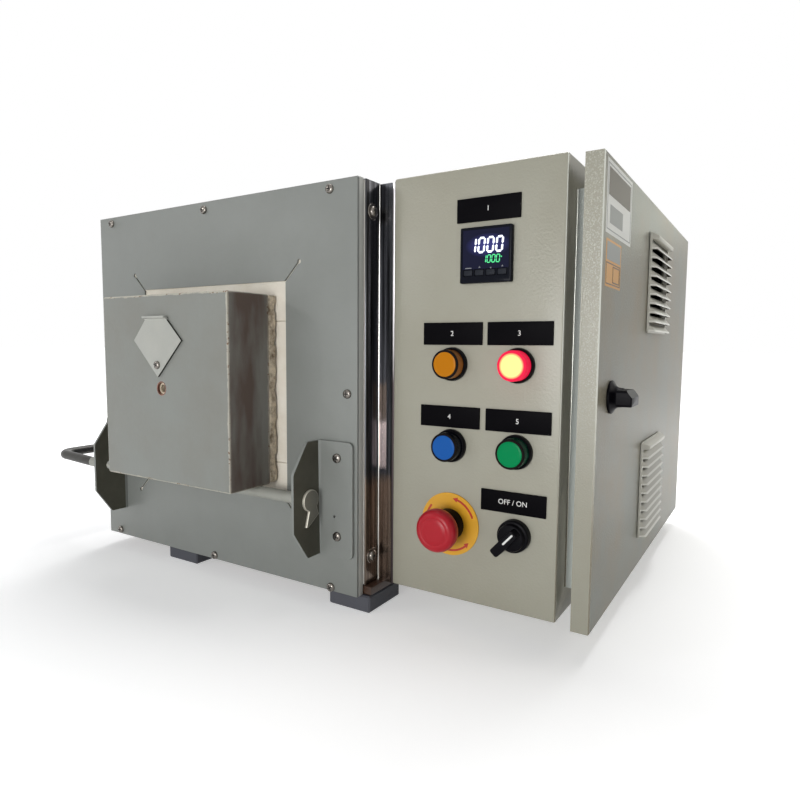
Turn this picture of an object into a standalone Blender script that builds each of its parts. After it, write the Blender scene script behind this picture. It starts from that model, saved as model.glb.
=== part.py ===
"""Industrial electric furnace with its control enclosure, as separate pieces.

Metres, +Z up. The pieces are laid out in a bench frame: X runs right from the front plate's left edge,
Y runs back from the front plate's face, and Z runs up from the table. An empty carries them all to the
middle of their common footprint.
"""

import math

import bmesh
import bpy
from mathutils import Matrix, Vector

for old in list(bpy.data.objects):
    bpy.data.objects.remove(old, do_unlink=True)

# Fits shared by all pieces
SEAT_GAP = 0.0003
RUNNING_GAP = 0.0003
CUT_OVERRUN = 0.004
WELD_LAP = 0.0006
SMOOTH_ANGLE = math.radians(40)
ROUND_PROFILE = 0.5
QUARTER_TURN = math.pi / 2
DIAGONAL_TURN = math.pi / 4

# Furnace body, sized from the chamber outwards
CHAMBER_SIDE = 0.150
CHAMBER_DEPTH = 0.300
BRICK_WALL = 0.065
INSULATION_SIDE = 0.0638
INSULATION_BELOW = 0.0601
INSULATION_ABOVE = 0.0689
MOUTH_OFFSET = 0.0023
BRICK_BLOCK = CHAMBER_SIDE + 2 * BRICK_WALL
PLATE_WIDTH = BRICK_BLOCK + 2 * INSULATION_SIDE
PLATE_HEIGHT = BRICK_BLOCK + INSULATION_BELOW + INSULATION_ABOVE
PLATE_THICK = 0.002
FURNACE_DEPTH = 0.505
FOOT_WIDTH = 0.051
FOOT_LENGTH = 0.057
FOOT_HEIGHT = 0.0171
FOOT_LEFT_X = 0.110
FOOT_RIGHT_OUTSET = 0.0094
FOOT_RIGHT_X = PLATE_WIDTH + FOOT_RIGHT_OUTSET - FOOT_WIDTH
FOOT_FRONT_Y = 0.008
FOOT_REAR_SETBACK = 0.014
FRAME_DEPTH = 0.0085
FRAME_BORDER = 0.025
CASING_OUTSET = 0.0021
CASING_WALL = 0.0012
BACK_COVER_THICK = 0.002
BASE_HEIGHT = 0.0086
PLATE_BOTTOM = FOOT_HEIGHT + SEAT_GAP
PLATE_TOP = PLATE_BOTTOM + PLATE_HEIGHT
FRAME_FRONT = PLATE_THICK + SEAT_GAP
FRAME_BACK = FRAME_FRONT + FRAME_DEPTH
CASING_FRONT = FRAME_BACK + SEAT_GAP
CASING_LEFT = -CASING_OUTSET
CASING_RIGHT = PLATE_WIDTH + CASING_OUTSET
CASING_BOTTOM = PLATE_BOTTOM + BASE_HEIGHT + SEAT_GAP

# Mouth, chamber and refractory
MOUTH_X = PLATE_WIDTH / 2 - MOUTH_OFFSET
MOUTH_Z = PLATE_BOTTOM + INSULATION_BELOW + BRICK_BLOCK / 2
CUTOUT_MARGIN_X = 0.040
CUTOUT_MARGIN_Z = 0.041
CUTOUT_WIDTH = CHAMBER_SIDE + 2 * CUTOUT_MARGIN_X
CUTOUT_HEIGHT = CHAMBER_SIDE + 2 * CUTOUT_MARGIN_Z
CHAMBER_LEFT = MOUTH_X - CHAMBER_SIDE / 2
CHAMBER_RIGHT = MOUTH_X + CHAMBER_SIDE / 2
CHAMBER_FLOOR = MOUTH_Z - CHAMBER_SIDE / 2
CHAMBER_ROOF = MOUTH_Z + CHAMBER_SIDE / 2
BRICK_FRONT = PLATE_THICK + SEAT_GAP
CHAMBER_BACK = BRICK_FRONT + CHAMBER_DEPTH
BRICK_BACK = CHAMBER_BACK + BRICK_WALL
BRICK_LEFT = CHAMBER_LEFT - BRICK_WALL
BRICK_RIGHT = CHAMBER_RIGHT + BRICK_WALL
BRICK_BOTTOM = CHAMBER_FLOOR - BRICK_WALL
BRICK_TOP = CHAMBER_ROOF + BRICK_WALL
PROBE_RADIUS = 0.004
PROBE_DROP = 0.022

# Furnace door, its brackets and its hinge rod
DOOR_LAP_X = 0.025
DOOR_LAP_Z = 0.0245
DOOR_WIDTH = CHAMBER_SIDE + 2 * DOOR_LAP_X
DOOR_HEIGHT = CHAMBER_SIDE + 2 * DOOR_LAP_Z
DOOR_SHELL_DEPTH = 0.055
DOOR_WALL = 0.002
DOOR_RISE = 0.0025
PLUG_PROUD = 0.0097
PEEPHOLE_RADIUS = 0.007
PEEPHOLE_RISE = 0.0009
ROD_RADIUS = 0.006
ROD_Y = -0.020
ROD_LEFT_REACH = 0.042
BRACKET_SPREAD = 0.3235
BRACKET_THICK = 0.003
DOOR_BACK = -(SEAT_GAP + PLUG_PROUD)
DOOR_FRONT = DOOR_BACK - DOOR_SHELL_DEPTH
DOOR_LEFT = MOUTH_X - DOOR_WIDTH / 2
DOOR_RIGHT = MOUTH_X + DOOR_WIDTH / 2
DOOR_BOTTOM = MOUTH_Z + DOOR_RISE - DOOR_HEIGHT / 2
DOOR_TOP = DOOR_BOTTOM + DOOR_HEIGHT
ROD_Z = DOOR_BOTTOM - SEAT_GAP - ROD_RADIUS
EAR_LEFT = MOUTH_X - BRACKET_SPREAD / 2
EAR_RIGHT = MOUTH_X + BRACKET_SPREAD / 2
ROD_LEFT_END = EAR_LEFT - ROD_LEFT_REACH
COVER_PIVOT_RADIUS = 0.002
COVER_PIVOT_OFFSET = 0.0035
COVER_PIVOT_RISE = 0.0256
COVER_PIVOT_X = MOUTH_X - COVER_PIVOT_OFFSET
COVER_PIVOT_Z = MOUTH_Z + DOOR_RISE + COVER_PIVOT_RISE
COVER_THICK = 0.0015
COVER_LIP = 0.009
LEVER_SPAN = 0.0787
LEVER_REACH = 0.160

# Control enclosure
SPACER_WIDTH = 0.0194
ENCLOSURE_DEPTH = 0.1687
ENCLOSURE_WIDTH = 0.495
ENCLOSURE_HEIGHT = 0.400
ENCLOSURE_WALL = 0.0015
ENCLOSURE_FRONT = 0.030
ENCLOSURE_BOTTOM = 0.0269
COLLAR_INSET = 0.025
COLLAR_REACH = 0.013
PAN_DEPTH = 0.016
PAN_SAG = 0.0029
PAN_SETOFF = 0.0005
HINGE_PIN_RADIUS = 0.0025
HINGE_BARREL_RADIUS = 0.005
HINGE_OUTSET = 0.0082
HINGE_SETBACK = 0.0065
SPACER_LEFT = CASING_RIGHT + SEAT_GAP
SPACER_RIGHT = SPACER_LEFT + SPACER_WIDTH
BOX_LEFT = SPACER_RIGHT + SEAT_GAP
BOX_LIP = BOX_LEFT + ENCLOSURE_DEPTH
BOX_BACK = ENCLOSURE_FRONT + ENCLOSURE_WIDTH
BOX_TOP = ENCLOSURE_BOTTOM + ENCLOSURE_HEIGHT
PAN_REAR = BOX_LIP + COLLAR_REACH + SEAT_GAP
PAN_FACE = PAN_REAR + PAN_DEPTH
PAN_FRONT = ENCLOSURE_FRONT - PAN_SETOFF
PAN_BACK = PAN_FRONT + ENCLOSURE_WIDTH
PAN_BOTTOM = ENCLOSURE_BOTTOM - PAN_SAG
PAN_TOP = PAN_BOTTOM + ENCLOSURE_HEIGHT
PAN_MIDDLE = PAN_BOTTOM + ENCLOSURE_HEIGHT / 2
HINGE_X = PAN_REAR - HINGE_SETBACK
HINGE_Y = BOX_BACK + HINGE_OUTSET
SPACER_DROP = 0.0015
SPACER_TOP = PLATE_TOP - SPACER_DROP

# Controls on the enclosure's front
PANEL_HOLE_RADIUS = 0.01125
CONTROL_STEM_RADIUS = 0.0109
COLUMN_SHARES = (0.3853, 0.7718)
ROW_SHARES = (0.5603, 0.3695, 0.182)
CONTROLLER_SHARES = (0.5762, 0.8033)
LEFT_COLUMN, RIGHT_COLUMN = (BOX_LEFT + ENCLOSURE_DEPTH * share for share in COLUMN_SHARES)
UPPER_ROW, LOWER_ROW, BUTTON_ROW = (ENCLOSURE_BOTTOM + ENCLOSURE_HEIGHT * share for share in ROW_SHARES)
CONTROLLER_SIDE = 0.049
CONTROLLER_X = BOX_LEFT + ENCLOSURE_DEPTH * CONTROLLER_SHARES[0]
CONTROLLER_Z = ENCLOSURE_BOTTOM + ENCLOSURE_HEIGHT * CONTROLLER_SHARES[1]
CONTROLLER_CUTOUT = 0.045
LATCH_SETBACK = 0.0445
LATCH_Y = PAN_FRONT + LATCH_SETBACK
LATCH_Z = PAN_MIDDLE
LATCH_HOLE_RADIUS = 0.0095
LATCH_STEM_RADIUS = 0.009
KNOB_HEIGHT = 0.0232
GLAND_REACH = 0.024
GLAND_INSET = 0.055
GLAND_RISE = 0.0481
GLAND_X = BOX_LEFT + GLAND_INSET
GLAND_Z = ENCLOSURE_BOTTOM + GLAND_RISE
PROBE_HEAD_LENGTH = 0.036

# The carrier puts the footprint's middle at the origin
LEFT_MOST = ROD_LEFT_END - SEAT_GAP - LEVER_SPAN - ROD_RADIUS
RIGHT_MOST = PAN_FACE + SEAT_GAP + KNOB_HEIGHT
FRONT_MOST = DOOR_FRONT - SEAT_GAP - COVER_THICK - COVER_LIP
PROBE_HEAD_FRONT = FURNACE_DEPTH + SEAT_GAP + BACK_COVER_THICK + SEAT_GAP
BACK_MOST = max(PROBE_HEAD_FRONT + PROBE_HEAD_LENGTH, BOX_BACK + SEAT_GAP + GLAND_REACH)
carrier = bpy.data.objects.new("furnace_carrier", None)
carrier.location = (-(LEFT_MOST + RIGHT_MOST) / 2, -(FRONT_MOST + BACK_MOST) / 2, 0)
bpy.context.scene.collection.objects.link(carrier)


def paint(name, colour, roughness, metallic=0.0):
    """A Principled material from an sRGB hex colour."""
    finish = bpy.data.materials.new(name)
    finish.use_nodes = True
    shader = finish.node_tree.nodes["Principled BSDF"]
    channels = [int(colour[i : i + 2], 16) / 255 for i in (1, 3, 5)]
    linear = [c / 12.92 if c <= 0.04045 else ((c + 0.055) / 1.055) ** 2.4 for c in channels]
    shader.inputs["Base Color"].default_value = (*linear, 1)
    shader.inputs["Roughness"].default_value = roughness
    shader.inputs["Metallic"].default_value = metallic
    return finish


GREY_PAINT = paint("grey_paint", "#868882", 0.45)
DARK_GREY_PAINT = paint("dark_grey_paint", "#6c6a64", 0.5)
GRAPHITE = paint("graphite_paint", "#4c4d55", 0.6)
STAINLESS = paint("polished_stainless", "#b9babc", 0.15, 1.0)
BROWN_STEEL = paint("brown_steel", "#4a3a33", 0.5, 0.6)
BEIGE_PAINT = paint("beige_hammered_paint", "#a3a38f", 0.4)
REFRACTORY = paint("refractory", "#ddd8cc", 0.95)
FIBRE = paint("ceramic_fibre", "#e6e2d6", 1.0)
CHARRED = paint("charred_fibre", "#8a6a4c", 1.0)
RAW_STEEL = paint("raw_steel", "#8d8b86", 0.4, 0.9)
ZINC = paint("zinc_plate", "#b4b7bb", 0.35, 0.9)
ELEMENT = paint("resistance_alloy", "#6b5f56", 0.5, 0.8)
ALUMINA = paint("alumina_sheath", "#e9e4d8", 0.6)
BLACK_PLASTIC = paint("black_plastic", "#151418", 0.4)
GASKET_FOAM = paint("gasket_foam", "#2b2b2b", 0.9)
RED_CAP = paint("red_cap", "#c02035", 0.3)
YELLOW_DISC = paint("yellow_disc", "#dba520", 0.5)
AMBER_LENS = paint("amber_lens", "#c87f1e", 0.2)
RED_LENS = paint("red_lens", "#e0324a", 0.2)
BLUE_LENS = paint("blue_lens", "#2a62b0", 0.2)
GREEN_LENS = paint("green_lens", "#0f9560", 0.2)
KEY_GREY = paint("key_grey", "#3a3c42", 0.5)


def spot(axis, along, u, v):
    """The point at this place along an axis; u and v are the other two axes in X, Y, Z order."""
    return Vector({"X": (along, u, v), "Y": (u, along, v), "Z": (u, v, along)}[axis])


def rectangle(axis, along, sides, inset=0):
    """Four corners of the rectangle sides = (u0, u1, v0, v1), drawn in by inset."""
    u0, u1, v0, v1 = sides
    near_u, near_v, far_u, far_v = u0 + inset, v0 + inset, u1 - inset, v1 - inset
    corners = ((near_u, near_v), (far_u, near_v), (far_u, far_v), (near_u, far_v))
    return [spot(axis, along, u, v) for u, v in corners]


def circle(axis, along, centre, radius, sides):
    u, v = centre
    turns = [2 * math.pi * (i + 1 / 2) / sides for i in range(sides)]
    return [spot(axis, along, u + radius * math.cos(t), v + radius * math.sin(t)) for t in turns]


def skin(bm, rings, closed=False):
    """Joins a row of equal rings of points; the ends are capped, or joined to each other when closed."""
    rows = [[bm.verts.new(point) for point in ring] for ring in rings]
    pairs = list(zip(rows, rows[1:] + rows[:1])) if closed else list(zip(rows, rows[1:]))
    for near, far in pairs:
        for i in range(len(near)):
            j = (i + 1) % len(near)
            bm.faces.new((near[i], near[j], far[j], far[i]))
    if not closed:
        bm.faces.new(rows[0])
        bm.faces.new(rows[-1])


def add_block(bm, low, high):
    size = Vector(high) - Vector(low)
    middle = (Vector(high) + Vector(low)) / 2
    bmesh.ops.create_cube(bm, size=1, matrix=Matrix.Translation(middle) @ Matrix.Diagonal((*size, 1)))


def add_prism(bm, axis, outline, start, end):
    """An outline of (u, v) points drawn out along an axis."""
    skin(bm, [[spot(axis, along, u, v) for u, v in outline] for along in (start, end)])


def add_turned(bm, axis, centre, profile, sides):
    """A turned solid from (place along the axis, radius) points, with flat ends."""
    skin(bm, [circle(axis, along, centre, radius, sides) for along, radius in profile])


def place(name, bm, finish, pivot=(0, 0, 0), smooth=False):
    """Makes the node, with its origin at pivot in the bench frame."""
    bmesh.ops.recalc_face_normals(bm, faces=bm.faces)
    bmesh.ops.translate(bm, verts=bm.verts, vec=-Vector(pivot))
    mesh = bpy.data.meshes.new(name)
    bm.to_mesh(mesh)
    bm.free()
    if smooth:
        mesh.shade_smooth()
        mesh.set_sharp_from_angle(angle=SMOOTH_ANGLE)
    mesh.materials.append(finish)
    node = bpy.data.objects.new(name, mesh)
    node.location = pivot
    node.parent = carrier
    bpy.context.scene.collection.objects.link(node)
    return node


def shape(name, finish, build, pivot=(0, 0, 0), smooth=False):
    """A node whose mesh the build function makes."""
    bm = bmesh.new()
    build(bm)
    return place(name, bm, finish, pivot, smooth)


def turned(name, finish, centre, profile, sides, pivot=(0, 0, 0)):
    """A node turned about Y."""
    return shape(name, finish, lambda bm: add_turned(bm, "Y", centre, profile, sides), pivot, True)


def helper(name, build):
    """A hidden solid for a Boolean modifier."""
    tool = shape(name, GREY_PAINT, build)
    tool.hide_render = True
    tool.display_type = "WIRE"
    return tool


def combine(node, name, operation, build):
    modifier = node.modifiers.new(name, "BOOLEAN")
    modifier.operation = operation
    modifier.object = helper(node.name + "_" + name, build)


def soften(node, width, segments=1):
    """Rounds a node's sharp edges."""
    modifier = node.modifiers.new("edge_radius", "BEVEL")
    modifier.width = width
    modifier.segments = segments
    modifier.limit_method = "ANGLE"
    modifier.angle_limit = SMOOTH_ANGLE


def block(name, finish, low, high, edge=0):
    node = shape(name, finish, lambda bm: add_block(bm, low, high))
    if edge:
        soften(node, edge)
    return node


# Front plate: sheet steel with a square cutout and a stress-relief slit at each corner

SLIT_LENGTH = 0.026
SLIT_WIDTH = 0.002
SLIT_HOLE_RADIUS = 0.0025
SLIT_HOLE_SIDES = 8


def slit_outline(corner, turn):
    """A keyhole slit that runs outward from a corner of the cutout."""
    half = SLIT_WIDTH / 2
    throat = math.asin(half / SLIT_HOLE_RADIUS)
    sweep = 2 * (math.pi - throat)
    points = [(-CUT_OVERRUN, -half)]
    for i in range(SLIT_HOLE_SIDES + 1):
        angle = math.pi + throat + sweep * i / SLIT_HOLE_SIDES
        points.append((SLIT_LENGTH + SLIT_HOLE_RADIUS * math.cos(angle), SLIT_HOLE_RADIUS * math.sin(angle)))
    points.append((-CUT_OVERRUN, half))
    spin = Matrix.Rotation(turn, 2)
    return [Vector(corner) + spin @ Vector(point) for point in points]


def make_front_plate():
    outer = (0, PLATE_WIDTH, PLATE_BOTTOM, PLATE_TOP)
    half_x, half_z = CUTOUT_WIDTH / 2, CUTOUT_HEIGHT / 2
    inner = (MOUTH_X - half_x, MOUTH_X + half_x, MOUTH_Z - half_z, MOUTH_Z + half_z)
    rings = [rectangle("Y", along, sides) for sides, along in ((outer, 0), (outer, PLATE_THICK))]
    rings += [rectangle("Y", along, sides) for sides, along in ((inner, PLATE_THICK), (inner, 0))]
    plate = shape("front_plate", GREY_PAINT, lambda bm: skin(bm, rings, closed=True))
    for i, (side_x, side_z) in enumerate(((1, 1), (-1, 1), (-1, -1), (1, -1))):
        corner = (MOUTH_X + side_x * half_x, MOUTH_Z + side_z * half_z)
        outline = slit_outline(corner, DIAGONAL_TURN + i * QUARTER_TURN)
        back = PLATE_THICK + CUT_OVERRUN
        combine(plate, f"slit_{i}", "DIFFERENCE", lambda bm: add_prism(bm, "Y", outline, -CUT_OVERRUN, back))


# Frame, base, casing, back cover and the channel between the furnace and the enclosure


def make_front_frame():
    outer = (0, PLATE_WIDTH, PLATE_BOTTOM, PLATE_TOP)
    steps = ((0, FRAME_FRONT), (0, FRAME_BACK), (FRAME_BORDER, FRAME_BACK), (FRAME_BORDER, FRAME_FRONT))
    rings = [rectangle("Y", along, outer, inset) for inset, along in steps]
    shape("front_frame", GREY_PAINT, lambda bm: skin(bm, rings, closed=True))


def make_base_frame():
    low = (CASING_LEFT, CASING_FRONT, PLATE_BOTTOM)
    right = FOOT_RIGHT_X + FOOT_WIDTH
    block("base_frame", BROWN_STEEL, low, (right, FURNACE_DEPTH, PLATE_BOTTOM + BASE_HEIGHT))


def make_casing():
    sides = (CASING_LEFT, CASING_RIGHT, CASING_BOTTOM, PLATE_TOP)
    wall = CASING_WALL
    steps = ((0, CASING_FRONT), (0, FURNACE_DEPTH), (wall, FURNACE_DEPTH), (wall, CASING_FRONT))
    rings = [rectangle("Y", along, sides, inset) for inset, along in steps]
    shape("casing", STAINLESS, lambda bm: skin(bm, rings, closed=True))


def make_back_cover():
    front = FURNACE_DEPTH + SEAT_GAP
    low = (CASING_LEFT, front, PLATE_BOTTOM)
    cover = block("back_cover", GREY_PAINT, low, (CASING_RIGHT, front + BACK_COVER_THICK, PLATE_TOP))
    cut_for_probe(cover, front, front + BACK_COVER_THICK)


def make_spacer_channel():
    sides = (SPACER_LEFT, SPACER_RIGHT, CASING_BOTTOM, SPACER_TOP)
    front = ENCLOSURE_FRONT + SPACER_SETBACK
    back = FURNACE_DEPTH
    steps = ((0, back), (0, front), (CASING_WALL, front + CASING_WALL), (CASING_WALL, back))
    rings = [rectangle("Y", along, sides, inset) for inset, along in steps]

    def build(bm):
        rows = [[bm.verts.new(point) for point in ring] for ring in rings]
        bm.faces.new(rows[1])
        bm.faces.new(rows[2])
        for near, far in ((rows[0], rows[1]), (rows[2], rows[3]), (rows[3], rows[0])):
            for i in range(len(near)):
                j = (i + 1) % len(near)
                bm.faces.new((near[i], near[j], far[j], far[i]))

    shape("spacer_channel", STAINLESS, build)


SPACER_SETBACK = 0.003


def make_feet():
    rear_y = FURNACE_DEPTH - FOOT_REAR_SETBACK - FOOT_LENGTH
    for end, y in (("front", FOOT_FRONT_Y), ("rear", rear_y)):
        for side, x in (("left", FOOT_LEFT_X), ("right", FOOT_RIGHT_X)):
            high = (x + FOOT_WIDTH, y + FOOT_LENGTH, FOOT_HEIGHT)
            block(f"foot_{end}_{side}", GRAPHITE, (x, y, 0), high, FOOT_EDGE)


FOOT_EDGE = 0.0015


# Refractory bricks, insulation, heating elements and thermocouple

POCKET_DEPTH = 0.009
POCKET_MARGIN_Y = 0.018
POCKET_MARGIN_Z = 0.014
PROBE_X = MOUTH_X
PROBE_Z = CHAMBER_ROOF - PROBE_DROP
PROBE_SIDES = 12
PROBE_CLEARANCE = 0.0006


def cut_for_probe(node, start, end):
    """A hole for the thermocouple through the wall between start and end."""
    bore = PROBE_RADIUS + PROBE_CLEARANCE
    steps = ((start - CUT_OVERRUN, bore), (end + CUT_OVERRUN, bore))
    centre = (PROBE_X, PROBE_Z)
    combine(node, "probe_hole", "DIFFERENCE", lambda bm: add_turned(bm, "Y", centre, steps, PROBE_SIDES))


def make_bricks():
    slabs = (("hearth_brick", BRICK_BOTTOM, CHAMBER_FLOOR), ("roof_brick", CHAMBER_ROOF, BRICK_TOP))
    for name, bottom, top in slabs:
        block(name, REFRACTORY, (BRICK_LEFT, BRICK_FRONT, bottom), (BRICK_RIGHT, BRICK_BACK, top))
    bottom = CHAMBER_FLOOR + SEAT_GAP
    top = CHAMBER_ROOF - SEAT_GAP
    left_floor, right_floor = CHAMBER_LEFT - POCKET_DEPTH, CHAMBER_RIGHT + POCKET_DEPTH
    sides = (
        ("left_brick", BRICK_LEFT, CHAMBER_LEFT, left_floor, CHAMBER_LEFT + CUT_OVERRUN),
        ("right_brick", CHAMBER_RIGHT, BRICK_RIGHT, CHAMBER_RIGHT - CUT_OVERRUN, right_floor),
    )
    for name, left, right, pocket_left, pocket_right in sides:
        brick = block(name, REFRACTORY, (left, BRICK_FRONT, bottom), (right, CHAMBER_BACK, top))
        low = (pocket_left, BRICK_FRONT + POCKET_MARGIN_Y, CHAMBER_FLOOR + POCKET_MARGIN_Z)
        high = (pocket_right, CHAMBER_BACK - POCKET_MARGIN_Y, CHAMBER_ROOF - POCKET_MARGIN_Z)
        combine(brick, "element_pocket", "DIFFERENCE", lambda bm: add_block(bm, low, high))
    front = CHAMBER_BACK + SEAT_GAP
    rear = block("rear_brick", REFRACTORY, (BRICK_LEFT, front, bottom), (BRICK_RIGHT, BRICK_BACK, top))
    cut_for_probe(rear, front, BRICK_BACK)


def make_insulation():
    """A jacket round the bricks, open at the front and solid behind them."""
    outer = CASING_WALL + SEAT_GAP
    sides = (CASING_LEFT + outer, CASING_RIGHT - outer, CASING_BOTTOM + outer, PLATE_TOP - outer)
    hollow = (BRICK_LEFT - SEAT_GAP, BRICK_RIGHT + SEAT_GAP, BRICK_BOTTOM - SEAT_GAP, BRICK_TOP + SEAT_GAP)
    back = FURNACE_DEPTH - SEAT_GAP
    pocket_back = BRICK_BACK + SEAT_GAP
    rings = [rectangle("Y", back, sides), rectangle("Y", CASING_FRONT, sides)]
    rings += [rectangle("Y", CASING_FRONT, hollow), rectangle("Y", pocket_back, hollow)]
    jacket = shape("insulation_jacket", FIBRE, lambda bm: skin(bm, rings))
    cut_for_probe(jacket, pocket_back, back)


ELEMENT_RADIUS = 0.003
ELEMENT_RUNS = 4
ELEMENT_MARGIN = 0.006
BEND_POINTS = 6


def serpentine(front, back, low, high, runs):
    """(y, z) points of parallel runs joined by half circles."""
    pitch = (high - low) / (runs - 1)
    bend = pitch / 2
    points = [(back, low)]
    for run in range(runs - 1):
        at_front = run % 2 == 0
        centre_y = front + bend if at_front else back - bend
        centre_z = low + (run + 1 / 2) * pitch
        side = -1 if at_front else 1
        for i in range(BEND_POINTS + 1):
            angle = -QUARTER_TURN + math.pi * i / BEND_POINTS
            points.append((centre_y + side * bend * math.cos(angle), centre_z + bend * math.sin(angle)))
    points.append((front if runs % 2 else back, high))
    return points


def tube(name, finish, points, radius, resolution, pivot=(0, 0, 0)):
    """A round bar along a list of points."""
    curve = bpy.data.curves.new(name, "CURVE")
    curve.dimensions = "3D"
    curve.bevel_depth = radius
    curve.bevel_resolution = resolution
    curve.use_fill_caps = True
    line = curve.splines.new("POLY")
    line.points.add(len(points) - 1)
    for point, knot in zip(points, line.points):
        knot.co = (*(Vector(point) - Vector(pivot)), 1)
    curve.materials.append(finish)
    node = bpy.data.objects.new(name, curve)
    node.location = pivot
    node.parent = carrier
    bpy.context.scene.collection.objects.link(node)
    return node


def make_elements():
    front = BRICK_FRONT + POCKET_MARGIN_Y + ELEMENT_MARGIN
    back = CHAMBER_BACK - POCKET_MARGIN_Y - ELEMENT_MARGIN
    low = CHAMBER_FLOOR + POCKET_MARGIN_Z + ELEMENT_MARGIN
    high = CHAMBER_ROOF - POCKET_MARGIN_Z - ELEMENT_MARGIN
    route = serpentine(front, back, low, high, ELEMENT_RUNS)
    depth = POCKET_DEPTH - ELEMENT_RADIUS - SEAT_GAP
    for name, x in (("element_left", CHAMBER_LEFT - depth), ("element_right", CHAMBER_RIGHT + depth)):
        tube(name, ELEMENT, [(x, y, z) for y, z in route], ELEMENT_RADIUS, 1)


PROBE_REACH = 0.040
PROBE_HEAD_RADIUS = 0.018
PROBE_TIP_SHARE = 0.5


def make_thermocouple():
    tip = CHAMBER_BACK - PROBE_REACH
    head_back = PROBE_HEAD_FRONT + PROBE_HEAD_LENGTH
    profile = (
        (tip, PROBE_RADIUS * PROBE_TIP_SHARE),
        (tip + PROBE_RADIUS * PROBE_TIP_SHARE, PROBE_RADIUS),
        (PROBE_HEAD_FRONT, PROBE_RADIUS),
        (PROBE_HEAD_FRONT, PROBE_HEAD_RADIUS),
        (head_back - PROBE_RADIUS, PROBE_HEAD_RADIUS),
        (head_back, PROBE_HEAD_RADIUS - PROBE_RADIUS),
    )
    turned("thermocouple", ZINC, (PROBE_X, PROBE_Z), profile, PROBE_SIDES)


GUARD_WIDTH = 0.160
GUARD_HEIGHT = 0.100
GUARD_DEPTH = 0.030
GUARD_WALL = 0.0015
GUARD_EDGE = 0.001


def make_terminal_guard():
    front = PROBE_HEAD_FRONT
    back = front + GUARD_DEPTH
    sides = (MOUTH_X - GUARD_WIDTH / 2, MOUTH_X + GUARD_WIDTH / 2, MOUTH_Z - GUARD_HEIGHT, MOUTH_Z)
    steps = ((0, back), (0, front), (GUARD_WALL, front), (GUARD_WALL, back - GUARD_WALL))
    rings = [rectangle("Y", along, sides, inset) for inset, along in steps]
    guard = shape("terminal_guard", GREY_PAINT, lambda bm: skin(bm, rings))
    soften(guard, GUARD_EDGE / 2)


# Hinge brackets, rod, keeper and lever

BRACKET_HEIGHT = 0.117
BRACKET_DEPTH = 0.0425
BRACKET_FLANGE_LEFT = 0.036
BRACKET_FLANGE_RIGHT = 0.044
BRACKET_CHAMFER_Y = 0.0205
BRACKET_CHAMFER_Z = 0.0295
BRACKET_CORNER = 0.005
ROUND_SIDES = 16


def ear_outline():
    """The ear from the side, as (y, z): square at the plate and chamfered at the front."""
    low = ROD_Z - BRACKET_HEIGHT / 2
    high = ROD_Z + BRACKET_HEIGHT / 2
    nose = -BRACKET_DEPTH
    shoulder = nose + BRACKET_CHAMFER_Y
    return (
        (-SEAT_GAP, low),
        (shoulder, low),
        (nose, low + BRACKET_CHAMFER_Z),
        (nose, high - BRACKET_CHAMFER_Z),
        (shoulder, high),
        (-SEAT_GAP, high),
    )


def make_bracket(name, face, outward, flange_width):
    """An ear that carries the rod, and a flange that turns outward along the plate."""
    low = ROD_Z - BRACKET_HEIGHT / 2
    high = ROD_Z + BRACKET_HEIGHT / 2
    other = face - BRACKET_THICK
    bracket = shape(name, GREY_PAINT, lambda bm: add_prism(bm, "X", ear_outline(), other, face))
    root = other if outward > 0 else face
    tip = root + outward * flange_width
    corner = tip - outward * BRACKET_CORNER
    flange = (
        (root, low),
        (corner, low),
        (tip, low + BRACKET_CORNER),
        (tip, high - BRACKET_CORNER),
        (corner, high),
        (root, high),
    )
    front = -SEAT_GAP - BRACKET_THICK
    combine(bracket, "flange", "UNION", lambda bm: add_prism(bm, "Y", flange, front, -SEAT_GAP))
    bore = ROD_RADIUS + RUNNING_GAP
    steps = ((other - CUT_OVERRUN, bore), (face + CUT_OVERRUN, bore))
    centre = (ROD_Y, ROD_Z)
    combine(bracket, "rod_bore", "DIFFERENCE", lambda bm: add_turned(bm, "X", centre, steps, ROUND_SIDES))


def make_hinge_rod():
    steps = ((ROD_LEFT_END, ROD_RADIUS), (EAR_RIGHT - SEAT_GAP, ROD_RADIUS))
    centre = (ROD_Y, ROD_Z)
    pivot = (ROD_LEFT_END, *centre)
    shape("hinge_rod", RAW_STEEL, lambda bm: add_turned(bm, "X", centre, steps, ROUND_SIDES), pivot, True)


KEEPER_RADIUS = 0.011
KEEPER_THICK = 0.003
KEEPER_ARC_SIDES = 12
KEEPER_ARC_START_SHARE = -0.22
KEEPER_ARC_END_SHARE = 1.24
LUG_NECK_REACH = 0.003
LUG_NECK_DROP = 0.0107
LUG_POINT_REACH = 0.0075
LUG_POINT_WIDTH = 0.003
LUG_DROP = 0.026
LUG_HEEL_DROP = 0.0158
LUG_HEEL_REACH = 0.0115


def make_rod_keeper():
    """A plate on the right ear that covers the rod's end: a round head with a pointed lug below."""
    span = KEEPER_ARC_END_SHARE - KEEPER_ARC_START_SHARE
    shares = [KEEPER_ARC_START_SHARE + span * i / KEEPER_ARC_SIDES for i in range(KEEPER_ARC_SIDES + 1)]
    turns = [math.pi * share for share in shares]
    head = [(ROD_Y + KEEPER_RADIUS * math.cos(t), ROD_Z + KEEPER_RADIUS * math.sin(t)) for t in turns]
    lug = [
        (ROD_Y - LUG_NECK_REACH, ROD_Z - LUG_NECK_DROP),
        (ROD_Y - LUG_POINT_REACH, ROD_Z - LUG_DROP),
        (ROD_Y - LUG_POINT_REACH + LUG_POINT_WIDTH, ROD_Z - LUG_DROP),
        (ROD_Y + LUG_HEEL_REACH, ROD_Z - LUG_HEEL_DROP),
    ]
    start = EAR_RIGHT + SEAT_GAP
    shape("rod_keeper", RAW_STEEL, lambda bm: add_prism(bm, "X", head + lug, start, start + KEEPER_THICK))


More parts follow.
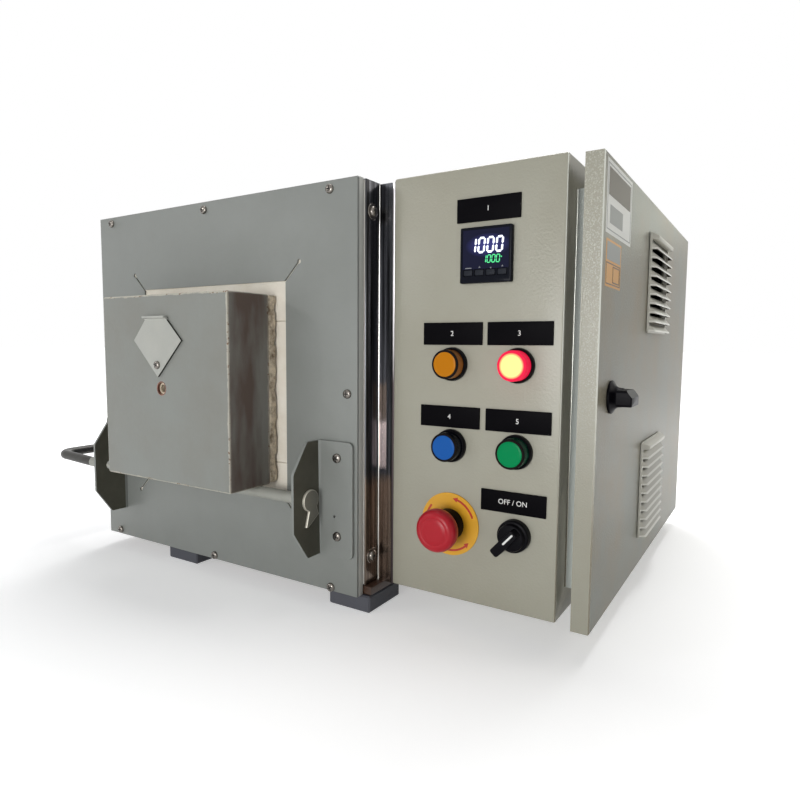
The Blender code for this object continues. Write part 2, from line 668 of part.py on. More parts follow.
LEVER_ROOT = 0.004
LEVER_BEND = 0.020
LEVER_RISE = 0.004
LEVER_RISE_AT_BEND_SHARE = 0.7
LEVER_BEND_POINTS = 8
LEVER_RESOLUTION = 3


def make_lever_handle():
    """A bar that carries on from the rod's left end, then bends back along the furnace."""
    start = ROD_LEFT_END - SEAT_GAP
    left = start - LEVER_SPAN
    back = ROD_Y + LEVER_REACH
    bend_z = ROD_Z + LEVER_RISE * LEVER_RISE_AT_BEND_SHARE
    points = [(start, ROD_Y, ROD_Z), (start - LEVER_ROOT, ROD_Y, ROD_Z)]
    for i in range(LEVER_BEND_POINTS + 1):
        turn = QUARTER_TURN * i / LEVER_BEND_POINTS
        x = left + LEVER_BEND - LEVER_BEND * math.sin(turn)
        y = ROD_Y + LEVER_BEND - LEVER_BEND * math.cos(turn)
        points.append((x, y, bend_z))
    points.append((left, back, ROD_Z + LEVER_RISE))
    tube("lever_handle", RAW_STEEL, points, ROD_RADIUS, LEVER_RESOLUTION, (start, ROD_Y, ROD_Z))


# Furnace door: steel pan, fibre plug and the peephole with its swinging cover

DOOR_EDGE = 0.003
PLUG_CLEARANCE = 0.0004
PEEPHOLE_X = MOUTH_X - 0.001
PEEPHOLE_SIDES = 12
COVER_PIVOT_STAND = 0.0028
DOOR_PIVOT = (MOUTH_X, ROD_Y, ROD_Z)


def cut_peephole(node):
    centre = (PEEPHOLE_X, MOUTH_Z + DOOR_RISE + PEEPHOLE_RISE)
    steps = ((DOOR_FRONT - CUT_OVERRUN, PEEPHOLE_RADIUS), (CUT_OVERRUN, PEEPHOLE_RADIUS))
    combine(node, "peephole", "DIFFERENCE", lambda bm: add_turned(bm, "Y", centre, steps, PEEPHOLE_SIDES))


def make_door_shell():
    sides = (DOOR_LEFT, DOOR_RIGHT, DOOR_BOTTOM, DOOR_TOP)
    steps = ((0, DOOR_FRONT), (0, DOOR_BACK), (DOOR_WALL, DOOR_BACK), (DOOR_WALL, DOOR_FRONT + DOOR_WALL))
    rings = [rectangle("Y", along, sides, inset) for inset, along in steps]
    door = shape("door_shell", GREY_PAINT, lambda bm: round_front(bm, rings), DOOR_PIVOT)
    ends = (DOOR_FRONT + DOOR_WALL / 2, DOOR_FRONT - COVER_PIVOT_STAND)
    stud = [(along, COVER_PIVOT_RADIUS) for along in ends]
    centre = (COVER_PIVOT_X, COVER_PIVOT_Z)
    combine(door, "cover_stud", "UNION", lambda bm: add_turned(bm, "Y", centre, stud, PEEPHOLE_SIDES))
    cut_peephole(door)


def round_front(bm, rings):
    """A pan whose first ring's outline and corners are rounded."""
    skin(bm, rings)
    front = [edge for edge in bm.edges if all(v.co.y < DOOR_FRONT + DOOR_WALL / 2 for v in edge.verts)]
    walls = [e for e in bm.edges if e.calc_length() > DOOR_SHELL_DEPTH - DOOR_WALL / 2 and is_along_y(e)]
    bmesh.ops.bevel(bm, geom=front + walls, offset=DOOR_EDGE, segments=2, profile=ROUND_PROFILE, affect="EDGES")


def is_along_y(edge):
    a, b = (vert.co for vert in edge.verts)
    return abs(a.x - b.x) + abs(a.z - b.z) < SEAT_GAP


def make_door_plug():
    inset = DOOR_WALL + PLUG_CLEARANCE
    low = (DOOR_LEFT + inset, DOOR_FRONT + inset, DOOR_BOTTOM + inset)
    high = (DOOR_RIGHT - inset, -SEAT_GAP, DOOR_TOP - inset)
    plug = shape("door_plug", CHARRED, lambda bm: add_block(bm, low, high), DOOR_PIVOT)
    cut_peephole(plug)


COVER_WIDTH = 0.0766
COVER_TOP_WIDTH = 0.0395
COVER_SHOULDER_RISE = 0.0257
COVER_TOP_RISE = 0.0486
COVER_TIP_DROP = 0.0126
COVER_BORE_GAP = 0.0003


def make_peephole_cover():
    """A pointed plate on the stud, with its top edge turned out as a finger lip."""
    x, z = COVER_PIVOT_X, COVER_PIVOT_Z
    half, half_top = COVER_WIDTH / 2, COVER_TOP_WIDTH / 2
    outline = (
        (x, z - COVER_TIP_DROP),
        (x + half, z + COVER_SHOULDER_RISE),
        (x + half_top, z + COVER_TOP_RISE),
        (x - half_top, z + COVER_TOP_RISE),
        (x - half, z + COVER_SHOULDER_RISE),
    )
    back = DOOR_FRONT - SEAT_GAP
    front = back - COVER_THICK
    pivot = (x, back, z)
    cover = shape("peephole_cover", GREY_PAINT, lambda bm: add_prism(bm, "Y", outline, front, back), pivot)
    top = z + COVER_TOP_RISE
    low = (x - half_top, front - COVER_LIP, top - COVER_THICK)
    high = (x + half_top, front + WELD_LAP, top)
    combine(cover, "lip", "UNION", lambda bm: add_block(bm, low, high))
    bore = COVER_PIVOT_RADIUS + COVER_BORE_GAP
    steps = ((front - CUT_OVERRUN, bore), (back + CUT_OVERRUN, bore))
    combine(cover, "stud_bore", "DIFFERENCE", lambda bm: add_turned(bm, "Y", (x, z), steps, PEEPHOLE_SIDES))


# Control enclosure: body, door, gasket, hinges, latch and vents

PANEL_SIDES = 16
GLAND_HOLE_RADIUS = 0.0103
GLAND_SIDES = 12


def make_enclosure_body():
    sides = (ENCLOSURE_FRONT, BOX_BACK, ENCLOSURE_BOTTOM, BOX_TOP)
    wall = ENCLOSURE_WALL
    steps = (
        (0, BOX_LEFT),
        (0, BOX_LIP),
        (COLLAR_INSET, BOX_LIP),
        (COLLAR_INSET, BOX_LIP + COLLAR_REACH),
        (COLLAR_INSET + wall, BOX_LIP + COLLAR_REACH),
        (COLLAR_INSET + wall, BOX_LIP - wall),
        (wall, BOX_LIP - wall),
        (wall, BOX_LEFT + wall),
    )
    rings = [rectangle("X", along, sides, inset) for inset, along in steps]
    body = shape("enclosure_body", BEIGE_PAINT, lambda bm: skin(bm, rings))
    for i, centre in enumerate(panel_holes()):
        radius = PANEL_HOLE_RADIUS
        span = ((ENCLOSURE_FRONT - CUT_OVERRUN, radius), (ENCLOSURE_FRONT + CUT_OVERRUN, radius))
        combine(body, f"hole_{i}", "DIFFERENCE", lambda bm: add_turned(bm, "Y", centre, span, PANEL_SIDES))
    half = CONTROLLER_CUTOUT / 2
    low = (CONTROLLER_X - half, ENCLOSURE_FRONT - CUT_OVERRUN, CONTROLLER_Z - half)
    high = (CONTROLLER_X + half, ENCLOSURE_FRONT + CUT_OVERRUN, CONTROLLER_Z + half)
    combine(body, "controller_cutout", "DIFFERENCE", lambda bm: add_block(bm, low, high))
    gland = ((BOX_BACK - CUT_OVERRUN, GLAND_HOLE_RADIUS), (BOX_BACK + CUT_OVERRUN, GLAND_HOLE_RADIUS))
    centre = (GLAND_X, GLAND_Z)
    combine(body, "gland_hole", "DIFFERENCE", lambda bm: add_turned(bm, "Y", centre, gland, GLAND_SIDES))


def panel_holes():
    """Centres of the round holes in the front panel: four lamps, the stop button and the selector."""
    lamps = [(x, z) for z in (UPPER_ROW, LOWER_ROW) for x in (LEFT_COLUMN, RIGHT_COLUMN)]
    return lamps + [(LEFT_COLUMN, BUTTON_ROW), (RIGHT_COLUMN, BUTTON_ROW)]


PAN_EDGE = 0.002
VENT_LENGTH = 0.112
VENT_HEIGHT = 0.107
VENT_MIDDLE_Y = 0.278
VENT_OFFSET_SHARE = 0.28375
VENT_APERTURE_MARGIN = 0.012
KNUCKLE_HEIGHT = 0.018
BARREL_HEIGHT = 0.022
HINGE_OFFSET_SHARE = 0.35
TAB_THICK = 0.002
TAB_REACH = 0.019
HINGE_SIDES = 12
PAN_PIVOT = (HINGE_X, HINGE_Y, PAN_MIDDLE)


def hinge_heights():
    offset = ENCLOSURE_HEIGHT * HINGE_OFFSET_SHARE
    return (("upper", PAN_MIDDLE + offset), ("lower", PAN_MIDDLE - offset))


def vent_heights():
    offset = ENCLOSURE_HEIGHT * VENT_OFFSET_SHARE
    return (("upper", PAN_MIDDLE + offset), ("lower", PAN_MIDDLE - offset))


def make_enclosure_door():
    sides = (PAN_FRONT, PAN_BACK, PAN_BOTTOM, PAN_TOP)
    wall = ENCLOSURE_WALL
    steps = ((0, PAN_FACE), (0, PAN_REAR), (wall, PAN_REAR), (wall, PAN_FACE - wall))
    rings = [rectangle("X", along, sides, inset) for inset, along in steps]

    def build(bm):
        skin(bm, rings)
        rim = [edge for edge in bm.edges if all(v.co.x > PAN_FACE - ENCLOSURE_WALL / 2 for v in edge.verts)]
        bmesh.ops.bevel(bm, geom=rim, offset=PAN_EDGE / 2, segments=1, profile=ROUND_PROFILE, affect="EDGES")

    pan = shape("enclosure_door", BEIGE_PAINT, build, PAN_PIVOT)
    for end, z in hinge_heights():
        bottom = z + BARREL_HEIGHT / 2 + RUNNING_GAP
        combine(pan, f"{end}_knuckle", "UNION", lambda bm: add_knuckle(bm, bottom))
    for end, z in hinge_heights():
        combine(pan, f"{end}_pin_bore", "DIFFERENCE", lambda bm: add_pin_bore(bm, z))
    latch = ((PAN_FACE - CUT_OVERRUN, LATCH_HOLE_RADIUS), (PAN_FACE + CUT_OVERRUN, LATCH_HOLE_RADIUS))
    centre = (LATCH_Y, LATCH_Z)
    combine(pan, "latch_hole", "DIFFERENCE", lambda bm: add_turned(bm, "X", centre, latch, PANEL_SIDES))
    for end, z in vent_heights():
        low, high = vent_aperture(z)
        combine(pan, f"{end}_aperture", "DIFFERENCE", lambda bm: add_block(bm, low, high))


def vent_aperture(z):
    half_y = VENT_LENGTH / 2 - VENT_APERTURE_MARGIN
    half_z = VENT_HEIGHT / 2 - VENT_APERTURE_MARGIN
    low = (PAN_FACE - CUT_OVERRUN, VENT_MIDDLE_Y - half_y, z - half_z)
    high = (PAN_FACE + CUT_OVERRUN, VENT_MIDDLE_Y + half_y, z + half_z)
    return low, high


def add_knuckle(bm, bottom):
    """The door's half of a hinge: a plate off the rear flange that turns into an eye round the pin."""
    top = bottom + KNUCKLE_HEIGHT
    eye_left = HINGE_X - HINGE_BARREL_RADIUS
    eye_right = HINGE_X + HINGE_BARREL_RADIUS
    flange = PAN_BACK - ENCLOSURE_WALL / 2
    outline = (
        (eye_left, HINGE_Y - HINGE_BARREL_RADIUS / 2),
        (eye_right - TAB_THICK, HINGE_Y - HINGE_BARREL_RADIUS),
        (PAN_REAR + TAB_THICK / 2, flange),
        (HINGE_X + TAB_REACH, flange),
        (HINGE_X + TAB_REACH, PAN_BACK + TAB_THICK),
        (PAN_REAR + 2 * TAB_THICK, PAN_BACK + TAB_THICK),
        (eye_right, HINGE_Y + HINGE_BARREL_RADIUS / 2),
        (HINGE_X + HINGE_BARREL_RADIUS / 2, HINGE_Y + HINGE_BARREL_RADIUS),
        (HINGE_X - HINGE_BARREL_RADIUS / 2, HINGE_Y + HINGE_BARREL_RADIUS),
        (eye_left, HINGE_Y + HINGE_BARREL_RADIUS / 2),
    )
    add_prism(bm, "Z", outline, bottom, top)


def add_pin_bore(bm, z):
    bore = HINGE_PIN_RADIUS + RUNNING_GAP
    bottom = z + BARREL_HEIGHT / 2
    top = bottom + RUNNING_GAP + KNUCKLE_HEIGHT
    steps = ((bottom - CUT_OVERRUN, bore), (top + CUT_OVERRUN, bore))
    add_turned(bm, "Z", (HINGE_X, HINGE_Y), steps, HINGE_SIDES)


LEAF_LENGTH = 0.034
LEAF_THICK = 0.002


def make_hinges():
    """The body's half of each hinge: a leaf on the rear wall, a barrel, and the pin in it."""
    for end, z in hinge_heights():
        low, high = z - BARREL_HEIGHT / 2, z + BARREL_HEIGHT / 2
        pin_top = high + RUNNING_GAP + KNUCKLE_HEIGHT

        def build(bm):
            steps = (
                (low, HINGE_BARREL_RADIUS),
                (high, HINGE_BARREL_RADIUS),
                (high, HINGE_PIN_RADIUS),
                (pin_top, HINGE_PIN_RADIUS),
            )
            add_turned(bm, "Z", (HINGE_X, HINGE_Y), steps, HINGE_SIDES)

        hinge = shape(f"hinge_{end}", BEIGE_PAINT, build, smooth=True)
        wall = BOX_BACK + SEAT_GAP
        left = HINGE_X - LEAF_LENGTH
        leaf = (
            (left, wall),
            (HINGE_X - HINGE_BARREL_RADIUS, wall),
            (HINGE_X, HINGE_Y - HINGE_BARREL_RADIUS / 2),
            (HINGE_X - HINGE_BARREL_RADIUS / 2, HINGE_Y),
            (HINGE_X - HINGE_BARREL_RADIUS - LEAF_THICK, wall + LEAF_THICK),
            (left, wall + LEAF_THICK),
        )
        combine(hinge, "leaf", "UNION", lambda bm: add_prism(bm, "Z", leaf, low, high))


GASKET_INSET = 0.018
GASKET_WIDTH = 0.013


def make_door_gasket():
    sides = (PAN_FRONT, PAN_BACK, PAN_BOTTOM, PAN_TOP)
    back, face = PAN_REAR + SEAT_GAP, PAN_FACE - ENCLOSURE_WALL - SEAT_GAP
    inner = GASKET_INSET + GASKET_WIDTH
    steps = ((GASKET_INSET, back), (GASKET_INSET, face), (inner, face), (inner, back))
    rings = [rectangle("X", along, sides, inset) for inset, along in steps]
    shape("door_gasket", GASKET_FOAM, lambda bm: skin(bm, rings, closed=True), PAN_PIVOT)


KNOB_BASE_RADIUS = 0.0165
KNOB_BASE_THICK = 0.002
KNOB_CONE = 0.0065
KNOB_NECK_RADIUS = 0.0085
WING_LENGTH = 0.030
WING_THICK = 0.0145
WING_DEPTH = 0.0125
LATCH_STEM_REACH = 0.0345
CAM_THICK = 0.003
CAM_LENGTH = 0.036
CAM_WIDTH = 0.014
LATCH_PIVOT = (PAN_FACE, LATCH_Y, LATCH_Z)


def make_latch():
    """A wing knob outside the enclosure door, its stem through the door, and the cam behind the lip."""
    base = PAN_FACE + SEAT_GAP
    stem_end = PAN_FACE - LATCH_STEM_REACH
    profile = (
        (stem_end, LATCH_STEM_RADIUS),
        (base, LATCH_STEM_RADIUS),
        (base, KNOB_BASE_RADIUS),
        (base + KNOB_BASE_THICK, KNOB_BASE_RADIUS),
        (base + KNOB_CONE, KNOB_NECK_RADIUS),
        (base + KNOB_HEIGHT - WING_DEPTH / 2, KNOB_NECK_RADIUS),
    )
    centre = (LATCH_Y, LATCH_Z)

    def build(bm):
        add_turned(bm, "X", centre, profile, PANEL_SIDES)

    knob = shape("latch_knob", BLACK_PLASTIC, build, LATCH_PIVOT, True)
    high_x = base + KNOB_HEIGHT
    low = (high_x - WING_DEPTH, LATCH_Y - WING_LENGTH / 2, LATCH_Z - WING_THICK / 2)
    high = (high_x, LATCH_Y + WING_LENGTH / 2, LATCH_Z + WING_THICK / 2)
    combine(knob, "wing", "UNION", lambda bm: add_block(bm, low, high))
    cam_high = stem_end - SEAT_GAP
    low = (cam_high - CAM_THICK, LATCH_Y - CAM_WIDTH / 2, LATCH_Z - CAM_LENGTH)
    high = (cam_high, LATCH_Y + CAM_WIDTH / 2, LATCH_Z + CAM_WIDTH / 2)
    shape("latch_cam", ZINC, lambda bm: add_block(bm, low, high), LATCH_PIVOT)


VENT_PROUD = 0.0085
VENT_RIM = 0.006
LOUVRES = 11
SLAT_THICK = 0.0016
SLAT_DROP = 0.0055


def make_vents():
    """A rectangular rim with slats that slope down and out, like pressed louvres."""
    for end, z in vent_heights():
        half_y, half_z = VENT_LENGTH / 2, VENT_HEIGHT / 2
        sides = (VENT_MIDDLE_Y - half_y, VENT_MIDDLE_Y + half_y, z - half_z, z + half_z)
        back = PAN_FACE + SEAT_GAP
        front = back + VENT_PROUD
        steps = ((0, back), (0, front), (VENT_RIM, front), (VENT_RIM, back))
        rings = [rectangle("X", along, sides, inset) for inset, along in steps]
        vent = shape(f"vent_{end}", BEIGE_PAINT, lambda bm: skin(bm, rings, closed=True), PAN_PIVOT)
        combine(vent, "slats", "UNION", lambda bm: add_slats(bm, sides, back, front))


def add_slats(bm, sides, back, front):
    left, right = sides[0] + VENT_RIM / 2, sides[1] - VENT_RIM / 2
    inner_low, inner_high = sides[2] + VENT_RIM, sides[3] - VENT_RIM
    pitch = (inner_high - inner_low) / LOUVRES
    nose = front - WELD_LAP
    for i in range(LOUVRES):
        top = inner_high - WELD_LAP - i * pitch
        low = top - SLAT_DROP
        section = ((back, top), (nose, low), (nose, low - SLAT_THICK), (back, top - SLAT_THICK))
        skin(bm, [[Vector((x, y, z)) for x, z in section] for y in (left, right)])


# What the enclosure holds: mounting plate, contactor, solid state relay, and the cable gland

BACKPLATE_STAND = 0.016
BACKPLATE_THICK = 0.002
BACKPLATE_MARGIN_Y = 0.030
BACKPLATE_MARGIN_Z = 0.024
STAND_RADIUS = 0.006
STAND_MARGIN = 0.020
STAND_SIDES = 8
BACKPLATE_FACE = BOX_LEFT + ENCLOSURE_WALL + SEAT_GAP + BACKPLATE_STAND + BACKPLATE_THICK


def make_mounting_plate():
    back = BACKPLATE_FACE - BACKPLATE_THICK
    front_y, back_y = ENCLOSURE_FRONT + BACKPLATE_MARGIN_Y, BOX_BACK - BACKPLATE_MARGIN_Y
    low_z, high_z = ENCLOSURE_BOTTOM + BACKPLATE_MARGIN_Z, BOX_TOP - BACKPLATE_MARGIN_Z
    plate = block("mounting_plate", ZINC, (back, front_y, low_z), (BACKPLATE_FACE, back_y, high_z))
    rows = (low_z + STAND_MARGIN, high_z - STAND_MARGIN)
    stands = [(y, z) for y in (front_y + STAND_MARGIN, back_y - STAND_MARGIN) for z in rows]
    for i, centre in enumerate(stands):
        steps = ((back - BACKPLATE_STAND, STAND_RADIUS), (back + WELD_LAP, STAND_RADIUS))
        combine(plate, f"stand_{i}", "UNION", lambda bm: add_turned(bm, "X", centre, steps, STAND_SIDES))


CONTACTOR_WIDTH = 0.045
CONTACTOR_HEIGHT = 0.080
CONTACTOR_DEPTH = 0.086
CONTACTOR_SHOULDER = 0.050
CONTACTOR_STEP = 0.014
CONTACTOR_Y = 0.230
CONTACTOR_RISE_SHARE = 0.68
CONTACTOR_Z = ENCLOSURE_BOTTOM + ENCLOSURE_HEIGHT * CONTACTOR_RISE_SHARE
RELAY_LENGTH = 0.080
RELAY_HEIGHT = 0.100
RELAY_BASE = 0.008
RELAY_DEPTH = 0.050
RELAY_FINS = 8
FIN_THICK = 0.003
RELAY_BODY_WIDTH = 0.045
RELAY_BODY_HEIGHT = 0.058
RELAY_BODY_DEPTH = 0.026
RELAY_Y = 0.340
RELAY_RISE_SHARE = 0.66
RELAY_Z = ENCLOSURE_BOTTOM + ENCLOSURE_HEIGHT * RELAY_RISE_SHARE


def make_contactor():
    """Stepped block, deeper in the middle than at its terminals."""
    back = BACKPLATE_FACE + SEAT_GAP
    shoulder, front = back + CONTACTOR_SHOULDER, back + CONTACTOR_DEPTH
    low, high = CONTACTOR_Z - CONTACTOR_HEIGHT / 2, CONTACTOR_Z + CONTACTOR_HEIGHT / 2
    outline = (
        (back, low),
        (shoulder, low),
        (shoulder, low + CONTACTOR_STEP),
        (front, low + CONTACTOR_STEP),
        (front, high - CONTACTOR_STEP),
        (shoulder, high - CONTACTOR_STEP),
        (shoulder, high),
        (back, high),
    )
    left, right = CONTACTOR_Y - CONTACTOR_WIDTH / 2, CONTACTOR_Y + CONTACTOR_WIDTH / 2
    shape("contactor", BLACK_PLASTIC, lambda bm: add_prism(bm, "Y", outline, left, right))


def make_relay():
    """Finned heat sink on the plate, with the relay module on its face."""
    back = BACKPLATE_FACE + SEAT_GAP
    fin_tip = back + RELAY_DEPTH
    base = fin_tip - RELAY_BASE
    low, high = RELAY_Z - RELAY_HEIGHT / 2, RELAY_Z + RELAY_HEIGHT / 2
    left, right = RELAY_Y - RELAY_LENGTH / 2, RELAY_Y + RELAY_LENGTH / 2
    sink = block("solid_state_relay", ZINC, (base, left, low), (fin_tip, right, high))

    def fins(bm):
        pitch = (RELAY_LENGTH - FIN_THICK) / (RELAY_FINS - 1)
        for i in range(RELAY_FINS):
            y = left + i * pitch
            add_block(bm, (back, y, low), (base + WELD_LAP, y + FIN_THICK, high))

    def module(bm):
        half_y, half_z = RELAY_BODY_WIDTH / 2, RELAY_BODY_HEIGHT / 2
        low_corner = (fin_tip - WELD_LAP, RELAY_Y - half_y, RELAY_Z - half_z)
        add_block(bm, low_corner, (fin_tip + RELAY_BODY_DEPTH, RELAY_Y + half_y, RELAY_Z + half_z))

    combine(sink, "fins", "UNION", fins)
    combine(sink, "module", "UNION", module)


GLAND_BORE_RADIUS = 0.006
GLAND_STEM_RADIUS = 0.010
GLAND_NUT_RADIUS = 0.0145
GLAND_CAP_RADIUS = 0.012
GLAND_INSIDE = 0.012
GLAND_NUT_SHARE = 0.4


def make_cable_gland():
    """A hollow gland in the rear wall: nut, cap and the threaded stem that goes through."""
    outside = BOX_BACK + SEAT_GAP
    inside = BOX_BACK - ENCLOSURE_WALL - GLAND_INSIDE
    end = outside + GLAND_REACH
    steps = (
        (inside, GLAND_STEM_RADIUS),
        (outside, GLAND_STEM_RADIUS),
        (outside, GLAND_NUT_RADIUS),
        (outside + GLAND_REACH * GLAND_NUT_SHARE, GLAND_NUT_RADIUS),
        (outside + GLAND_REACH * GLAND_NUT_SHARE, GLAND_CAP_RADIUS),
        (end, GLAND_CAP_RADIUS),
        (end, GLAND_BORE_RADIUS),
        (inside, GLAND_BORE_RADIUS),
    )
    centre = (GLAND_X, GLAND_Z)
    rings = [circle("Y", along, centre, radius, GLAND_SIDES) for along, radius in steps]
    shape("cable_gland", BLACK_PLASTIC, lambda bm: skin(bm, rings, closed=True), smooth=True)


# Controls: temperature controller with keys, indicator lamps, emergency stop, selector

BEZEL_PROUD = 0.005
BEZEL_EDGE = 0.0012
CONTROLLER_BODY = 0.0444
CONTROLLER_BODY_DEPTH = 0.070
KEYS = 4
KEY_WIDTH = 0.0085
KEY_HEIGHT = 0.0052
KEY_SPACING = 0.0108
KEY_THICK = 0.0016
KEY_PROUD = 0.0004
KEY_TRAVEL = 0.0006
KEY_DROP = 0.0155
KEY_CLEARANCE = 0.0003


def key_centres():
    first = CONTROLLER_X - KEY_SPACING * (KEYS - 1) / 2
    return [(first + i * KEY_SPACING, CONTROLLER_Z - KEY_DROP) for i in range(KEYS)]


def make_controller():
    front = ENCLOSURE_FRONT - SEAT_GAP - BEZEL_PROUD
    half = CONTROLLER_SIDE / 2
    low = (CONTROLLER_X - half, front, CONTROLLER_Z - half)
    high = (CONTROLLER_X + half, ENCLOSURE_FRONT - SEAT_GAP, CONTROLLER_Z + half)
    bezel = block("controller", BLACK_PLASTIC, low, high, BEZEL_EDGE)
    half_body = CONTROLLER_BODY / 2
    low_body = (CONTROLLER_X - half_body, high[1] - WELD_LAP, CONTROLLER_Z - half_body)
    high_body = (CONTROLLER_X + half_body, high[1] + CONTROLLER_BODY_DEPTH, CONTROLLER_Z + half_body)
    combine(bezel, "body", "UNION", lambda bm: add_block(bm, low_body, high_body))
    floor = front - KEY_PROUD + KEY_THICK + KEY_TRAVEL + KEY_CLEARANCE
    for i, (x, z) in enumerate(key_centres()):
        half_x, half_z = KEY_WIDTH / 2 + KEY_CLEARANCE, KEY_HEIGHT / 2 + KEY_CLEARANCE
        low_key, high_key = (x - half_x, front - CUT_OVERRUN, z - half_z), (x + half_x, floor, z + half_z)
        combine(bezel, f"key_pocket_{i}", "DIFFERENCE", lambda bm: add_block(bm, low_key, high_key))
        start = front - KEY_PROUD
        low_cap = (x - KEY_WIDTH / 2, start, z - KEY_HEIGHT / 2)
        high_cap = (x + KEY_WIDTH / 2, start + KEY_THICK, z + KEY_HEIGHT / 2)
        pivot = (x, start, z)
        shape(f"controller_key_{i + 1}", KEY_GREY, lambda bm: add_block(bm, low_cap, high_cap), pivot)


LAMP_RADIUS = 0.0146
LAMP_PROUD = 0.0105
LAMP_RECESS = 0.0055
LENS_RADIUS = 0.0129
LENS_CROWN = 0.0035
LENS_CROWN_SHARE = 0.8
STEM_LENGTH = 0.042
LENS_CLEARANCE = 0.0003


def make_lamps():
    """Each lamp is a black holder through the panel and a domed lens in its rim."""
    places = (
        ("amber", AMBER_LENS, LEFT_COLUMN, UPPER_ROW),
        ("red", RED_LENS, RIGHT_COLUMN, UPPER_ROW),
        ("blue", BLUE_LENS, LEFT_COLUMN, LOWER_ROW),
        ("green", GREEN_LENS, RIGHT_COLUMN, LOWER_ROW),
    )
    seat = ENCLOSURE_FRONT - SEAT_GAP
    rim = seat - LAMP_PROUD
    floor = rim + LAMP_RECESS
    bore = LENS_RADIUS + LENS_CLEARANCE
    holder = (
        (seat + STEM_LENGTH, CONTROL_STEM_RADIUS),
        (seat, CONTROL_STEM_RADIUS),
        (seat, LAMP_RADIUS),
        (rim, LAMP_RADIUS),
        (rim, bore),
        (floor, bore),
    )
    lens = (
        (floor - SEAT_GAP, LENS_RADIUS),
        (rim - LENS_CROWN / 2, LENS_RADIUS),
        (rim - LENS_CROWN, LENS_RADIUS * LENS_CROWN_SHARE),
    )
    for colour, finish, x, z in places:
        turned(f"lamp_{colour}", BLACK_PLASTIC, (x, z), holder, PANEL_SIDES)
        turned(f"lens_{colour}", finish, (x, z), lens, PANEL_SIDES)


STOP_DISC_RADIUS = 0.030
STOP_DISC_THICK = 0.001
STOP_COLLAR_RADIUS = 0.0150
STOP_COLLAR_PROUD = 0.011
STOP_BORE_RADIUS = 0.0082
PLUNGER_RADIUS = 0.0078
STOP_BORE_DEPTH = 0.050
STOP_TRAVEL = 0.005
STOP_FREE_GAP = 0.0012
HEAD_RADIUS = 0.020
HEAD_DEPTH = 0.0155
HEAD_EDGE = 0.003
HEAD_CROWN_SHARE = 0.72
PLUNGER_SHARE = 0.8
HEAD_SIDES = 24


def make_emergency_stop():
    """Yellow disc, black body, a plunger that slides in it, and the mushroom head on the plunger."""
    centre = (LEFT_COLUMN, BUTTON_ROW)
    seat = ENCLOSURE_FRONT - SEAT_GAP
    disc_front = seat - STOP_DISC_THICK
    disc_bore = CONTROL_STEM_RADIUS + RUNNING_GAP
    rim = STOP_DISC_RADIUS
    disc = ((seat, rim), (disc_front, rim), (disc_front, disc_bore), (seat, disc_bore))
    rings = [circle("Y", along, centre, radius, HEAD_SIDES) for along, radius in disc]
    shape("estop_disc", YELLOW_DISC, lambda bm: skin(bm, rings, closed=True), smooth=True)
    collar_back = disc_front - SEAT_GAP
    collar_front = collar_back - STOP_COLLAR_PROUD
    body = (
        (seat + STOP_BORE_DEPTH, CONTROL_STEM_RADIUS),
        (collar_back, CONTROL_STEM_RADIUS),
        (collar_back, STOP_COLLAR_RADIUS),
        (collar_front, STOP_COLLAR_RADIUS),
        (collar_front, STOP_BORE_RADIUS),
        (seat + STOP_BORE_DEPTH, STOP_BORE_RADIUS),
    )
    body_rings = [circle("Y", along, centre, radius, PANEL_SIDES) for along, radius in body]
    shape("estop_body", BLACK_PLASTIC, lambda bm: skin(bm, body_rings, closed=True), smooth=True)
    head_back = collar_front - STOP_TRAVEL - STOP_FREE_GAP
    head_front = head_back - HEAD_DEPTH
    plunger_end = seat + STOP_BORE_DEPTH * PLUNGER_SHARE
    plunger = ((plunger_end, PLUNGER_RADIUS), (head_back + SEAT_GAP, PLUNGER_RADIUS))
    pivot = spot("Y", head_back, *centre)
    turned("estop_plunger", BLACK_PLASTIC, centre, plunger, PANEL_SIDES, pivot)
    head = (
        (head_back, HEAD_RADIUS - HEAD_EDGE),
        (head_back - HEAD_EDGE, HEAD_RADIUS),
        (head_front + 2 * HEAD_EDGE, HEAD_RADIUS),
        (head_front + HEAD_EDGE / 2, HEAD_RADIUS - HEAD_EDGE),
        (head_front, HEAD_RADIUS * HEAD_CROWN_SHARE),
    )
    turned("estop_head", RED_CAP, centre, head, HEAD_SIDES, pivot)


SELECTOR_RING_RADIUS = 0.0148
SELECTOR_RING_PROUD = 0.008
SELECTOR_KNOB_RADIUS = 0.0125
SELECTOR_KNOB_PROUD = 0.0135
HANDLE_WIDTH = 0.009
HANDLE_REACH = 0.0190
HANDLE_TAIL = 0.0115
HANDLE_BASE_SHARE = 0.35


